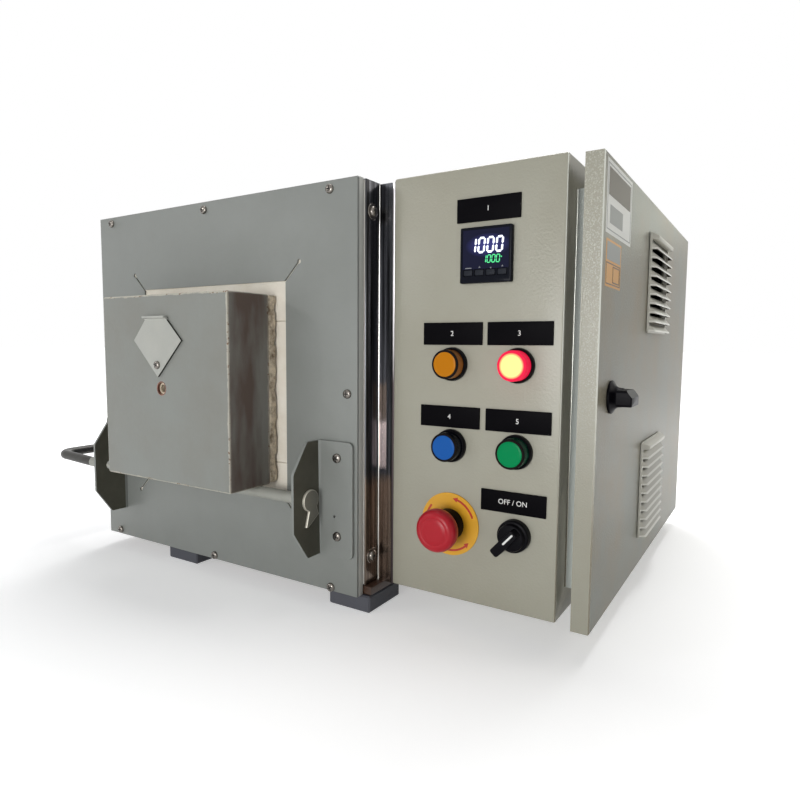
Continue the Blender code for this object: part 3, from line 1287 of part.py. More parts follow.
def make_selector():
    """Black ring on the panel and a knob whose handle points down and left at rest."""
    centre = (RIGHT_COLUMN, BUTTON_ROW)
    seat = ENCLOSURE_FRONT - SEAT_GAP
    ring_front = seat - SELECTOR_RING_PROUD
    ring = (
        (seat + STEM_LENGTH, CONTROL_STEM_RADIUS),
        (seat, CONTROL_STEM_RADIUS),
        (seat, SELECTOR_RING_RADIUS),
        (ring_front, SELECTOR_RING_RADIUS),
    )
    turned("selector_body", BLACK_PLASTIC, centre, ring, PANEL_SIDES)
    back = ring_front - SEAT_GAP
    front = back - SELECTOR_KNOB_PROUD
    disc_front = back - SELECTOR_KNOB_PROUD * HANDLE_BASE_SHARE
    pivot = spot("Y", back, *centre)
    disc = ((back, SELECTOR_KNOB_RADIUS), (disc_front, SELECTOR_KNOB_RADIUS))
    knob = turned("selector_knob", BLACK_PLASTIC, centre, disc, PANEL_SIDES, pivot)
    half = HANDLE_WIDTH / 2
    shoulder = HANDLE_REACH - half
    tail = -HANDLE_TAIL
    bar = ((tail, -half), (shoulder, -half), (HANDLE_REACH, 0), (shoulder, half), (tail, half))
    spin = Matrix.Rotation(math.pi + DIAGONAL_TURN, 2)
    outline = [Vector(centre) + spin @ Vector(point) for point in bar]
    combine(knob, "handle", "UNION", lambda bm: add_prism(bm, "Y", outline, front, back - WELD_LAP))


make_front_plate()
make_front_frame()
make_base_frame()
make_casing()
make_back_cover()
make_spacer_channel()
make_feet()
make_bricks()
make_insulation()
make_elements()
make_thermocouple()
make_terminal_guard()
make_bracket("bracket_left", EAR_LEFT, -1, BRACKET_FLANGE_LEFT)
make_bracket("bracket_right", EAR_RIGHT, 1, BRACKET_FLANGE_RIGHT)
make_hinge_rod()
make_rod_keeper()
make_lever_handle()
make_door_shell()
make_door_plug()
make_peephole_cover()
make_enclosure_body()
make_enclosure_door()
make_hinges()
make_door_gasket()
make_latch()
make_vents()
make_mounting_plate()
make_contactor()
make_relay()
make_cable_gland()
make_controller()
make_lamps()
make_emergency_stop()
make_selector()
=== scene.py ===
# %% [markdown]
# # An industrial electric furnace and its control enclosure
#
# The solids of the furnace come from its CAD model. This lesson dresses them: it gives every sheet of
# metal, brick and control the surface that the real one has, and builds the rounded, moulded and
# threaded pieces again with more shape than a plain solid carries.

# %% Load the frame
import math

import bmesh
import bpy
from mathutils import Matrix, Vector, noise


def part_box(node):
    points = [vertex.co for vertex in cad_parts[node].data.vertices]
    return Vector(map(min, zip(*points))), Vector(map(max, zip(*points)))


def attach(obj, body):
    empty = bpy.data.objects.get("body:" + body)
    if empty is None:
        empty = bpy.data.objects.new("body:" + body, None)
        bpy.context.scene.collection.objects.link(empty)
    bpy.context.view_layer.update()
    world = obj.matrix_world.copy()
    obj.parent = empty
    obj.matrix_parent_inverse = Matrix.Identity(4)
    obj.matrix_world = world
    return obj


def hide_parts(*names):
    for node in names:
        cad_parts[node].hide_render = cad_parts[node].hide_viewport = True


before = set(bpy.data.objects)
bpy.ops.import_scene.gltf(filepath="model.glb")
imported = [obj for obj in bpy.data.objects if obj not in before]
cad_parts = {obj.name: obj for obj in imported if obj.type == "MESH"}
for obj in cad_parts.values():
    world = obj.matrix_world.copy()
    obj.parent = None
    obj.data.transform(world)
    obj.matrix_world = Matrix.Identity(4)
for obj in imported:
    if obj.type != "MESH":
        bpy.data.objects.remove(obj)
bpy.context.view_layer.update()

# %% [markdown]
# ## Bench coordinates
#
# Every size below is in millimetres from three planes that a fitter would measure from: the left edge
# of the front plate, the face of that plate, and the table. One function turns such a place into metres
# in the shared frame, so a piece always lands on the solid that carries it.

# %% Bench coordinates
PLATE_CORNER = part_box("front_plate")[0]


def bench(x, y, z):
    """A place in millimetres: right from the plate's left edge, back from its face, up from the table."""
    return Vector((PLATE_CORNER.x + x / 1000, PLATE_CORNER.y + y / 1000, z / 1000))


def extent(node):
    """The lowest and highest corners of a CAD node, in bench millimetres."""
    shift = Vector((PLATE_CORNER.x, PLATE_CORNER.y, 0))
    return [(corner - shift) * 1000 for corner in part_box(node)]


print("front plate, mm", extent("front_plate"))

# %% [markdown]
# ## The camera
#
# The photograph was taken from a little above the furnace and from its right. The place, turn and field
# of view below put the plate, both doors and the feet where they lie in the picture.

# %% Camera
FOCAL_PIXELS = 613.25
IMAGE_PIXELS = 800
SENSOR_WIDTH = 36

camera_data = bpy.data.cameras.new("camera")
camera_data.sensor_width = SENSOR_WIDTH
camera_data.lens = SENSOR_WIDTH * FOCAL_PIXELS / IMAGE_PIXELS
camera = bpy.data.objects.new("camera", camera_data)
camera.location = bench(754.75, -479.74, 267.28)
camera.rotation_euler = [math.radians(angle) for angle in (84.9774, -0.4269, 31.9255)]
bpy.context.scene.collection.objects.link(camera)
bpy.context.scene.camera = camera
print("camera at", camera.location[:])

# %% [markdown]
# ## The room
#
# A white room with a pale floor and little light of its own, so that the lamps can model the shapes. The
# background is white because the floor and the world say so to the camera and to shiny surfaces. The
# paint is lit at a level where it keeps the colour that it is given.


# %% Colours and nodes
def srgb(code):
    """A linear colour from an sRGB hex code."""
    channels = [int(code[i : i + 2], 16) / 255 for i in (1, 3, 5)]
    linear = [c / 12.92 if c <= 0.04045 else ((c + 0.055) / 1.055) ** 2.4 for c in channels]
    return (*linear, 1)


def add(owner, kind, inputs=None, **settings):
    """Adds a shader node. An input is a value, or an output socket to link."""
    tree = owner.node_tree
    node = tree.nodes.new("ShaderNode" + kind)
    for name, value in settings.items():
        setattr(node, name, value)
    for key, value in (inputs or {}).items():
        if isinstance(value, bpy.types.NodeSocket):
            tree.links.new(value, node.inputs[key])
        else:
            node.inputs[key].default_value = value
    return node


def ranged(owner, value, start, end, low=0.0, high=1.0):
    """Stretches the part of a value between start and end over low to high."""
    limits = {"Value": value, "From Min": start, "From Max": end, "To Min": low, "To Max": high}
    return add(owner, "MapRange", limits)


def blend(owner, share, one, other):
    """Turns one colour into the other by a share from 0 to 1."""
    return add(owner, "MixRGB", {"Fac": share, "Color1": one, "Color2": other})


def times(owner, one, other):
    """The product of two values."""
    return add(owner, "Math", {0: one, 1: other}, operation="MULTIPLY")


def relief(owner, height, metres):
    """The normal of a surface that this height raises by up to so many metres."""
    return add(owner, "Bump", {"Height": height, "Strength": 1, "Distance": metres})


def seen_directly(owner):
    """1 where a ray from the camera, a mirror or clear plastic meets the surface, 0 for soft light."""
    rays = add(owner, "LightPath").outputs
    seen = add(owner, "Math", {0: rays["Is Camera Ray"], 1: rays["Is Glossy Ray"]}, operation="MAXIMUM")
    seen = add(owner, "Math", {0: seen.outputs[0], 1: rays["Is Transmission Ray"]}, operation="MAXIMUM")
    return seen.outputs[0]


print("grey enamel is", srgb("#868985"))

# %% World
ROOM_LIGHT = 0.20

world = bpy.data.worlds.new("white_room")
world.use_nodes = True
bpy.context.scene.world = world
light = add(world, "Background", {"Color": srgb("#f4f7fb"), "Strength": ROOM_LIGHT})
white = add(world, "Background", {"Color": (1, 1, 1, 1), "Strength": 1})
both = add(world, "MixShader", {0: seen_directly(world), 1: light.outputs[0], 2: white.outputs[0]})
world.node_tree.links.new(both.outputs[0], world.node_tree.nodes["World Output"].inputs["Surface"])
bpy.context.scene.view_settings.view_transform = "Standard"
print("room light", ROOM_LIGHT)

# %% Floor
# Near the object the floor keeps its shadow. Further off it is lifted to white, so no horizon shows.
FLOOR_HALF = 40
SHADOW_LIFT = 0.40

floor_paint = bpy.data.materials.new("matt_white_floor")
floor_paint.use_nodes = True
floor_shader = floor_paint.node_tree.nodes["Principled BSDF"]
floor_shader.inputs["Base Color"].default_value = srgb("#f2f2f2")
floor_shader.inputs["Roughness"].default_value = 0.95
floor_shader.inputs["Specular IOR Level"].default_value = 0.0
away = add(
    floor_paint, "VectorMath", {0: add(floor_paint, "TexCoord").outputs["Object"]}, operation="LENGTH",
)
lift = ranged(floor_paint, away.outputs["Value"], 0.55, 1.7, SHADOW_LIFT, 1.0)
strength = times(floor_paint, seen_directly(floor_paint), lift.outputs[0])
glow = add(floor_paint, "Emission", {"Color": (1, 1, 1, 1), "Strength": strength.outputs[0]})
total = add(floor_paint, "AddShader", {0: floor_shader.outputs[0], 1: glow.outputs[0]})
out = floor_paint.node_tree.nodes["Material Output"]
floor_paint.node_tree.links.new(total.outputs[0], out.inputs["Surface"])

bm = bmesh.new()
bmesh.ops.create_grid(bm, x_segments=1, y_segments=1, size=FLOOR_HALF)
floor_mesh = bpy.data.meshes.new("floor")
bm.to_mesh(floor_mesh)
bm.free()
floor_mesh.materials.append(floor_paint)
floor = bpy.data.objects.new("floor", floor_mesh)
floor.location.z = -0.0002
bpy.context.scene.collection.objects.link(floor)
print("floor", FLOOR_HALF * 2, "m wide")


# %% Lamps
def area_lamp(name, place, target, size, watts, tint="#ffffff"):
    """A soft square lamp that faces a point."""
    data = bpy.data.lights.new(name, "AREA")
    data.size = size
    data.energy = watts
    data.color = srgb(tint)[:3]
    lamp = bpy.data.objects.new(name, data)
    lamp.location = place
    lamp.rotation_euler = (Vector(target) - Vector(place)).to_track_quat("-Z", "Y").to_euler()
    bpy.context.scene.collection.objects.link(lamp)


# The key stands in front, a little to the right, and a small window on the left throws crisp shadows.
# The right lamp stands behind the enclosure's corner, so it lights that tall side and leaves the
# furnace's own right-hand faces in shade. The ceiling lamp hangs behind the object and lights the floor.
area_lamp("key_panel", (0.25, -2.7, 0.38), (0.0, 0.0, 0.2), 0.9, 26)
area_lamp("window_left", (-1.9, -2.3, 1.2), (0.0, 0.0, 0.2), 0.3, 6)
area_lamp("ceiling_panel", (0.0, 0.55, 2.0), (0.0, 0.2, 0.0), 1.4, 36)
area_lamp("right_panel", (1.6, 0.7, 1.0), (0.35, 0.0, 0.2), 0.7, 3.4, "#fff8ec")
# A strip of sky behind and to the right glints in the coat of the enclosure's door.
area_lamp("glint_strip", (0.69, 1.37, 0.71), (0.35, -0.16, 0.38), 0.22, 0.45, "#fbffe8")
# A low panel close in front lifts the lower half of the fronts, as the photograph's floor did.
area_lamp("low_fill", (0.25, -1.15, 0.12), (0.05, -0.2, 0.05), 0.4, 0.9)
area_lamp("rear_panel", (-0.9, 1.7, 1.2), (0.0, 0.3, 0.2), 1.0, 12)
print("seven soft lamps")

# %% [markdown]
# ## Tools for the mesh work
#
# Three shapes carry nearly all the pieces. A slab is a block with rounded corners and softened rims, as
# a moulded or folded part has. A turned piece is an outline spun round an axis, as on a lathe. A plate is
# an outline drawn out to a thickness. Each starts as its own small mesh, and gather joins them into one.

# %% Mesh helpers
AXES = {"X": Vector((1, 0, 0)), "Y": Vector((0, 1, 0)), "Z": Vector((0, 0, 1))}


def soften(bm, edges, width, steps):
    """Rounds these edges by a width in millimetres."""
    bmesh.ops.bevel(
        bm, geom=edges, offset=width / 1000, offset_type="OFFSET", segments=steps,
        profile=0.5, affect="EDGES", material=-1, clamp_overlap=True,
    )


def runs_along(edge, axis):
    span = edge.verts[1].co - edge.verts[0].co
    return abs(span.dot(axis)) > 0.999 * span.length


def rim_edges(bm, axis, place):
    """The edges that lie in the plane across an axis at this place, in metres along it."""
    return [e for e in bm.edges if all(abs(v.co.dot(axis) - place) < 1e-6 for v in e.verts)]


def slab(low, high, axis="Y", radius=0, edge=0, ends=(True, True), radius_steps=6, edge_steps=3):
    """A block between two bench corners, its edges along the axis rounded, and the rims of its ends."""
    bm = bmesh.new()
    near, far = bench(*low), bench(*high)
    size = Matrix.Diagonal((*(far - near), 1))
    bmesh.ops.create_cube(bm, size=1, matrix=Matrix.Translation((near + far) / 2) @ size)
    way = AXES[axis]
    if radius:
        soften(bm, [e for e in bm.edges if runs_along(e, way)], radius, radius_steps)
    if edge:
        places = [corner.dot(way) for corner, wanted in zip((near, far), ends) if wanted]
        soften(bm, [e for place in places for e in rim_edges(bm, way, place)], edge, edge_steps)
    return bm


def turned(centre, axis, profile, steps=48):
    """A profile of (millimetres along the axis, radius) points, spun round the axis through a bench point."""
    bm = bmesh.new()
    way = AXES[axis] if isinstance(axis, str) else Vector(axis).normalized()
    side = way.orthogonal().normalized()
    middle = bench(*centre)
    verts = [
        bm.verts.new(middle + way * (along / 1000) + side * (radius / 1000))
        for along, radius in profile
    ]
    edges = [bm.edges.new(pair) for pair in zip(verts, verts[1:])]
    bmesh.ops.spin(
        bm, geom=verts + edges, cent=middle, axis=way, dvec=(0, 0, 0),
        angle=math.tau, steps=steps, use_merge=True,
    )
    bmesh.ops.remove_doubles(bm, verts=bm.verts, dist=1e-7)
    bmesh.ops.dissolve_degenerate(bm, edges=bm.edges, dist=1e-7)
    return bm


def plate(points, way, thick):
    """An outline of bench points drawn out along a direction by a thickness in millimetres."""
    bm = bmesh.new()
    face = bm.faces.new([bm.verts.new(bench(*point)) for point in points])
    made = bmesh.ops.extrude_face_region(bm, geom=[face], use_keep_orig=True)
    moved = [item for item in made["geom"] if isinstance(item, bmesh.types.BMVert)]
    bmesh.ops.translate(bm, verts=moved, vec=Vector(way).normalized() * (thick / 1000))
    return bm


def gather(*parts):
    """Joins meshes into one. A part is a mesh, or a mesh and its material's number. None keeps its own."""
    whole = bmesh.new()
    for part in parts:
        bm, material = part if isinstance(part, tuple) else (part, 0)
        bmesh.ops.recalc_face_normals(bm, faces=bm.faces)
        for face in bm.faces:
            face.material_index = face.material_index if material is None else material
        mesh = bpy.data.meshes.new("part")
        bm.to_mesh(mesh)
        bm.free()
        whole.from_mesh(mesh)
        bpy.data.meshes.remove(mesh)
    return whole


def finish(name, bm, materials, body, stands_for=(), sharp=35):
    """Makes the piece from a mesh, with smooth shading up to an angle, and lets it ride on its body."""
    mesh = bpy.data.meshes.new(name)
    bm.to_mesh(mesh)
    bm.free()
    mesh.shade_smooth()
    mesh.set_sharp_from_angle(angle=math.radians(sharp))
    for material in materials if isinstance(materials, (list, tuple)) else [materials]:
        mesh.materials.append(material)
    piece = bpy.data.objects.new(name, mesh)
    bpy.context.scene.collection.objects.link(piece)
    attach(piece, body)
    if stands_for:
        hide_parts(*stands_for)
    print(name, len(mesh.polygons), "faces, rides on", body)
    return piece


def pattern(material):
    """The piece's own coordinates, in metres."""
    return add(material, "TexCoord").outputs["Object"]


def surface(name, colour, roughness, metallic=0.0, **sockets):
    """A material whose plain values are set on its shader, and the shader."""
    material = bpy.data.materials.new(name)
    material.use_nodes = True
    shader = material.node_tree.nodes["Principled BSDF"]
    shader.inputs["Base Color"].default_value = srgb(colour)
    shader.inputs["Roughness"].default_value = roughness
    shader.inputs["Metallic"].default_value = metallic
    for socket, value in sockets.items():
        shader.inputs[socket.replace("_", " ")].default_value = value
    return material, shader


def feed(material, socket, shader, name):
    material.node_tree.links.new(socket, shader.inputs[name])


print("mesh helpers ready")

# %% [markdown]
# ## Paint
#
# All the sheet steel was painted. Sprayed paint dries with orange peel, small soft bumps a few
# millimetres across, and years of hands and heat leave faint clouds in its colour. One function builds
# such a paint from its colour, the size of its peel and how strong the clouds are.


# %% Paint
def paint(
    name, colour, clouded, roughness, peel_mm, depth_mm, clouds=0.5, coat=0.0, glints=None, **sockets,
):
    """Paint on sheet steel. Its patches lean to clouded by the share clouds, its pebbles' tops to a painted
    glint colour.
    """
    material, shader = surface(name, colour, roughness, Coat_Weight=coat, Coat_Roughness=0.25, **sockets)
    place = pattern(material)
    patches = add(material, "TexNoise", {"Vector": place, "Scale": 11, "Detail": 5, "Roughness": 0.62})
    spread = ranged(material, patches.outputs["Fac"], 0.38, 0.68, high=clouds)
    mixed = blend(material, spread.outputs[0], srgb(colour), srgb(clouded))
    peel = add(material, "TexNoise", {"Vector": place, "Scale": 1000 / peel_mm, "Detail": 1.5})
    if glints:
        tops = ranged(material, peel.outputs["Fac"], 0.5, 0.72, high=0.5)
        # The painted glints fade toward the table.
        high = add(material, "SeparateXYZ", {0: place}).outputs["Z"]
        fade = ranged(material, high, 0.16, 0.34)
        share = times(material, tops.outputs[0], fade.outputs[0])
        mixed = blend(material, share.outputs[0], mixed.outputs[0], srgb(glints))
    feed(material, mixed.outputs[0], shader, "Base Color")
    bumps = relief(material, peel.outputs["Fac"], depth_mm / 1000)
    feed(material, bumps.outputs[0], shader, "Normal")
    return material


# A satin grey enamel, sprayed thin: little gloss, and a peel that only shows close by.
grey_enamel = paint("satin_grey_enamel", "#868985", "#7b7e79", 0.42, 3.0, 0.10)
# The enclosure has a textured powder coat, baked on, with pebbles that glint where a lamp strikes them.
pebble_coat = paint("textured_beige_powder_coat", "#a3a192", "#9b9684", 0.34, 2.2, 0.2, clouds=0.35)
# The same coat went on the door more heavily, with painted glints on its pebbles' tops. Its outer face is
# painted greyer and darker as shade.
heavy_coat = paint(
    "heavy_beige_powder_coat", "#9e9c8d", "#96917f", 0.24, 1.25, 0.16, clouds=0.35, glints="#dcdbd0",
)
shaded_face_coat = paint(
    "beige_powder_coat_with_painted_shade", "#8a8c83", "#938873", 0.3, 2.0, 0.34, clouds=0.8,
    Specular_IOR_Level=0.06,
)
# Behind the door the collar's front is painted cooler and paler as light, with painted glints.
lit_collar_coat = paint(
    "powder_coat_painted_light_behind_the_door", "#d6dcd6", "#c4cbc4", 0.3, 1.4, 0.2, glints="#f8faf6",
)
# Slate paint on the feet, flat and dusty.
slate_paint = paint("matt_slate_paint", "#44464d", "#53535a", 0.62, 2.5, 0.12)
# The base frame's dark brown paint has dulled with heat.
brown_paint = paint("heat_dulled_brown_paint", "#3a2a22", "#4c3527", 0.34, 2.5, 0.15, clouds=0.8)
print("seven paints")


# %% Dress the painted nodes
def dress(material, *nodes):
    """Puts a material on CAD nodes. Their meshes stay as they are."""
    for node in nodes:
        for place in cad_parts[node].material_slots:
            place.material = material


# The brackets' ears are painted a dark olive as the shade on their side faces.
ear_shade_paint = paint(
    "ear_paint_with_painted_shade", "#5a594e", "#46443b", 0.5, 3.0, 0.12, clouds=0.7, Specular_IOR_Level=0.2,
)
# The bar between them was painted over with the rest, thick and pale.
rod_enamel = paint("brushed_pale_enamel", "#a3a49c", "#8b8a80", 0.5, 4.0, 0.2, clouds=0.6)
dress(grey_enamel, "front_plate", "front_frame", "back_cover", "terminal_guard")
dress(pebble_coat, "enclosure_body", "enclosure_door")
dress(slate_paint, "foot_front_left", "foot_front_right", "foot_rear_left", "foot_rear_right")
dress(brown_paint, "base_frame")

# %% [markdown]
# ## Stainless steel
#
# The casing and the channel beside it are polished stainless sheet. Rolling leaves fine lines that run
# up the sheet, so the noise is stretched along that way, and the mill finish mirrors the room softly.


# %% Bare metals
def metal(name, colour, stained, roughness, grain=(1, 1, 1), grain_mm=2.0, depth_mm=0.02, stains=0.5):
    """Bare metal. Grain says how much finer its lines are along X, Y and Z."""
    material, shader = surface(name, colour, roughness, metallic=1.0)
    place = pattern(material)
    patches = add(material, "TexNoise", {"Vector": place, "Scale": 16, "Detail": 5, "Roughness": 0.65})
    spread = ranged(material, patches.outputs["Fac"], 0.42, 0.7, high=stains)
    mixed = blend(material, spread.outputs[0], srgb(colour), srgb(stained))
    feed(material, mixed.outputs[0], shader, "Base Color")
    stretched = add(material, "Mapping", {"Vector": place, "Scale": grain})
    lines = add(
        material, "TexNoise", {"Vector": stretched.outputs[0], "Scale": 1000 / grain_mm, "Detail": 2},
    )
    wear = ranged(material, lines.outputs["Fac"], 0.0, 1.0, roughness * 0.75, roughness * 1.35)
    feed(material, wear.outputs[0], shader, "Roughness")
    bumps = relief(material, lines.outputs["Fac"], depth_mm / 1000)
    feed(material, bumps.outputs[0], shader, "Normal")
    return material


stainless = metal(
    "polished_stainless_sheet", "#9b9da0", "#7f7c7a", 0.16, grain=(1, 1, 0.04), depth_mm=0.015,
)
# Mild steel bar, handled and warmed until it dulled.
bar_steel = metal(
    "handled_mild_steel_bar", "#4d4c4a", "#3a3936", 0.4, grain_mm=3, depth_mm=0.06, stains=0.7,
)
# Zinc on pressed steel keeps a slight blue.
zinc = metal("bright_zinc_plate", "#b4b8bb", "#8d9092", 0.26)
# Screws are nickel plated and bright.
nickel = metal("nickel_plated_screw", "#85807a", "#57514a", 0.18)
# Resistance wire grows a dark scale in its first heat.
scaled_wire = metal("oxidised_resistance_wire", "#6a5f57", "#4a3f3a", 0.5, depth_mm=0.1)
print("five metals")

# %% Stainless in the slot beside the enclosure
# The sheet there faces a dark slot, and its colour holds painted reflections: dark streaks that run down,
# and a brown painted reflection on its lower third.
slot_stainless, slot_shader = surface("stainless_in_slot_with_painted_reflections", "#4a4a4e", 0.22, metallic=1.0)
place = pattern(slot_stainless)
run = add(slot_stainless, "Mapping", {"Vector": place, "Scale": (1, 1, 0.02)})
streaks = add(
    slot_stainless, "TexNoise",
    {"Vector": run.outputs[0], "Scale": 1000 / 3.2, "Detail": 3, "Roughness": 0.6},
)
contrast = ranged(slot_stainless, streaks.outputs["Fac"], 0.38, 0.66)
dark_reflection = blend(slot_stainless, contrast.outputs[0], srgb("#262628"), srgb("#66676c"))
brown_reflection = blend(slot_stainless, contrast.outputs[0], srgb("#4d4036"), srgb("#94857a"))
height = add(slot_stainless, "SeparateXYZ", {0: place}).outputs["Z"]
clouds = add(slot_stainless, "TexNoise", {"Vector": place, "Scale": 30, "Detail": 4})
edge = add(slot_stainless, "Math", {0: clouds.outputs["Fac"], 1: 0.06, 2: height}, operation="MULTIPLY_ADD")
low_part = ranged(slot_stainless, edge.outputs[0], 0.172, 0.158)
mixed = blend(slot_stainless, low_part.outputs[0], dark_reflection.outputs[0], brown_reflection.outputs[0])
# Above the brown, one stretch of the spacer carries a painted pale pink reflection. The stretch over it
# is painted brown again.
pink_patch_x = add(slot_stainless, "SeparateXYZ", {0: place}).outputs["X"]


def between(value, low, high, blur):
    """1 where a value lies between two others, with a soft step at each."""
    above = ranged(slot_stainless, value, low - blur, low + blur)
    below = ranged(slot_stainless, value, high + blur, high - blur)
    return times(slot_stainless, above.outputs[0], below.outputs[0]).outputs[0]


on_spacer = between(pink_patch_x, bench(411, 0, 0).x, bench(419.8, 0, 0).x, 0.0002)
for low, high, tint in ((0.2245, 0.260, brown_reflection.outputs[0]), (0.178, 0.2245, srgb("#ffe9e4"))):
    stretch = times(slot_stainless, between(edge.outputs[0], low, high, 0.003), on_spacer)
    mixed = blend(slot_stainless, stretch.outputs[0], mixed.outputs[0], tint)
feed(slot_stainless, mixed.outputs[0], slot_shader, "Base Color")
# A cut edge of the same sheet, painted bright as a highlight.
bright_edge, _ = surface("stainless_edge_painted_bright", "#dddcd8", 0.2, metallic=1.0)


def fade_upward(name, below, above, low, high, roughness, metallic):
    """A surface whose colour changes from below to above between two heights in metres."""
    material, shader = surface(name, above, roughness, metallic=metallic)
    height = add(material, "SeparateXYZ", {0: pattern(material)}).outputs["Z"]
    share = ranged(material, height, low, high)
    mixed = blend(material, share.outputs[0], srgb(below), srgb(above))
    feed(material, mixed.outputs[0], shader, "Base Color")
    return material


# The edge next to the enclosure and the enclosure's folds carry a painted highlight that darkens toward the
# bottom.
painted_highlight_edge = fade_upward("stainless_edge_painted_with_highlight", "#4a4344", "#e4e2e4", 0.23, 0.33, 0.3, 1.0)
fold_coat = fade_upward("fold_of_powder_coat_with_painted_glint", "#857f6f", "#d6d8ce", 0.1, 0.26, 0.25, 0.5)
dress(stainless, "casing", "spacer_channel")
dress(zinc, "mounting_plate", "latch_cam")
print("slot stainless")

# %% [markdown]
# ## Firebrick and fibre
#
# Insulating firebrick is a chalky white clay full of burnt-out pores. It never shines. Near the mouth
# the door has rubbed and browned it. The jacket round the bricks is white ceramic fibre blanket.


# %% Firebrick
def mineral(name, colour, dusty, grain_mm, depth_mm, dust=0.7, roughness=0.95, patch_scale=22):
    """A chalky or fibrous mineral with pores or tufts of this grain."""
    material, shader = surface(name, colour, roughness, Specular_IOR_Level=0.2)
    place = pattern(material)
    patches = add(
        material, "TexNoise", {"Vector": place, "Scale": patch_scale, "Detail": 8, "Roughness": 0.7},
    )
    spread = ranged(material, patches.outputs["Fac"], 0.42, 0.72, high=dust)
    mixed = blend(material, spread.outputs[0], srgb(colour), srgb(dusty))
    feed(material, mixed.outputs[0], shader, "Base Color")
    pores = add(
        material, "TexNoise", {"Vector": place, "Scale": 1000 / grain_mm, "Detail": 4, "Roughness": 0.7},
    )
    bumps = relief(material, pores.outputs["Fac"], depth_mm / 1000)
    feed(material, bumps.outputs[0], shader, "Normal")
    return material


firebrick = mineral("insulating_firebrick", "#ece6d9", "#d9cfbd", 2.2, 0.4, dust=0.6)
blanket = mineral("ceramic_fibre_blanket", "#e9e6df", "#d8d2c6", 4.0, 1.2)
dress(firebrick, "hearth_brick", "roof_brick", "left_brick", "right_brick", "rear_brick")
dress(blanket, "insulation_jacket")
print("firebrick and fibre")

# %% [markdown]
# ## Moulded plastics
#
# The control gear is moulded. Fine spark-eroded texture in the mould gives the black parts their matt
# skin, and the caps and lenses are polished. A lens is dyed clear plastic in front of a pale diffuser,
# so it glows with its own colour even when its lamp is off.


# %% Plastics
def moulded(name, colour, roughness, grain_mm=0, depth_mm=0.03, **sockets):
    """Moulded plastic, smooth or with the fine grain of an eroded mould."""
    material, shader = surface(name, colour, roughness, IOR=1.5, **sockets)
    if grain_mm:
        grains = add(
            material, "TexNoise", {"Vector": pattern(material), "Scale": 1000 / grain_mm, "Detail": 2},
        )
        bumps = relief(material, grains.outputs["Fac"], depth_mm / 1000)
        feed(material, bumps.outputs[0], shader, "Normal")
    return material


black_plastic = moulded("matt_black_moulding", "#0e0d11", 0.34, grain_mm=1.2, Specular_IOR_Level=0.05)
glossy_black = moulded("glossy_black_moulding", "#15171f", 0.12, Specular_IOR_Level=0.05)
relay_plastic = moulded("cream_relay_moulding", "#cfc9b8", 0.4, grain_mm=1.2)
key_plastic = moulded("grey_soft_key", "#1f2229", 0.5, grain_mm=1.0, Specular_IOR_Level=0.12)
red_plastic = moulded("polished_red_cap", "#b01a28", 0.3, Specular_IOR_Level=0.25)
yellow_plastic = moulded("yellow_laminate_disc", "#e0a51f", 0.42, grain_mm=1.5)
foam = moulded("black_foam_strip", "#26262a", 0.9, grain_mm=1.5, depth_mm=0.3)
dress(foam, "door_gasket")
print("seven plastics")

# %% [markdown]
# ## Screws
#
# Pan head screws hold the plate, the brackets and the casing. A pan head is a low disc with a rolled rim
# and a recessed cross. The profile is spun, and the cross is four sunk arms, made by pushing thin bars
# into the crown and painting them dark as the shade in the recess, because they are only a millimetre wide.

# %% Pan head screws
recess_dark, _ = surface("shadowed_screw_recess", "#1d1b19", 0.7)


def pan_head(centre, way, radius=4.6, height=2.9, turn=0.3, washer=0.0):
    """A pan head at a bench place, standing out along a unit vector, with its cross turned by an angle."""
    way = Vector(way).normalized()
    crown = [
        (0, radius), (height * 0.35, radius), (height * 0.68, radius * 0.93),
        (height * 0.9, radius * 0.76), (height, radius * 0.5), (height, 0),
    ]
    foot = 0.0
    parts = []
    if washer:
        foot = 1.0
        parts.append(
            (
                turned(
                    centre, way,
                    [(0, radius * 0.9), (0, washer), (0.7, washer), (1.0, washer - 0.4), (1.0, 0)], 24,
                ),
                0,
            )
        )
    parts.append((turned(centre, way, [(along + foot, r) for along, r in crown], 20), 0))
    side = way.orthogonal().normalized()
    across = way.cross(side)
    place = bench(*centre) + way * ((foot + height) / 1000)
    for quarter in range(2):
        angle = turn + quarter * math.pi / 2
        arm = side * math.cos(angle) + across * math.sin(angle)
        bm = bmesh.new()
        basis = Matrix((arm, way.cross(arm), way)).transposed().to_4x4()
        size = Matrix.Diagonal((radius * 1.25 / 1000, radius * 0.24 / 1000, 0.0002, 1))
        bmesh.ops.create_cube(bm, size=1, matrix=Matrix.Translation(place) @ basis @ size)
        parts.append((bm, 1))
    return gather(*parts)


def screws(name, places, way, body, slot="zinc_plate", **sizes):
    """A set of the same screws at bench places, with their crosses turned as a hand left them."""
    heads = [(pan_head(place, way, turn=0.4 + 1.7 * n, **sizes)) for n, place in enumerate(places)]
    whole = bmesh.new()
    for head in heads:
        mesh = bpy.data.meshes.new("head")
        head.to_mesh(mesh)
        head.free()
        whole.from_mesh(mesh)
        bpy.data.meshes.remove(mesh)
    return finish(name, whole, [nickel, recess_dark], body)


FRONT, RIGHT, BACK = (0, -1, 0), (1, 0, 0), (0, 1, 0)
PLATE_SCREWS = [
    (24.7, 418.6), (195.9, 417.5), (374.8, 418.0), (395.9, 220.3),
    (11.5, 220.3), (23.5, 23.3), (202.9, 22.2), (374.9, 21.3),
]
screws("plate_screws", [(x, 0, z) for x, z in PLATE_SCREWS], FRONT, "furnace")
screws("cover_screws", [(407.6 - x, 507.3, z) for x, z in PLATE_SCREWS], BACK, "furnace")
screws(
    "casing_screws", [(409.7, 21.7, z) for z in (396.6, 55.3)], RIGHT, "furnace", radius=5.3, height=3.0,
    washer=8.0,
)

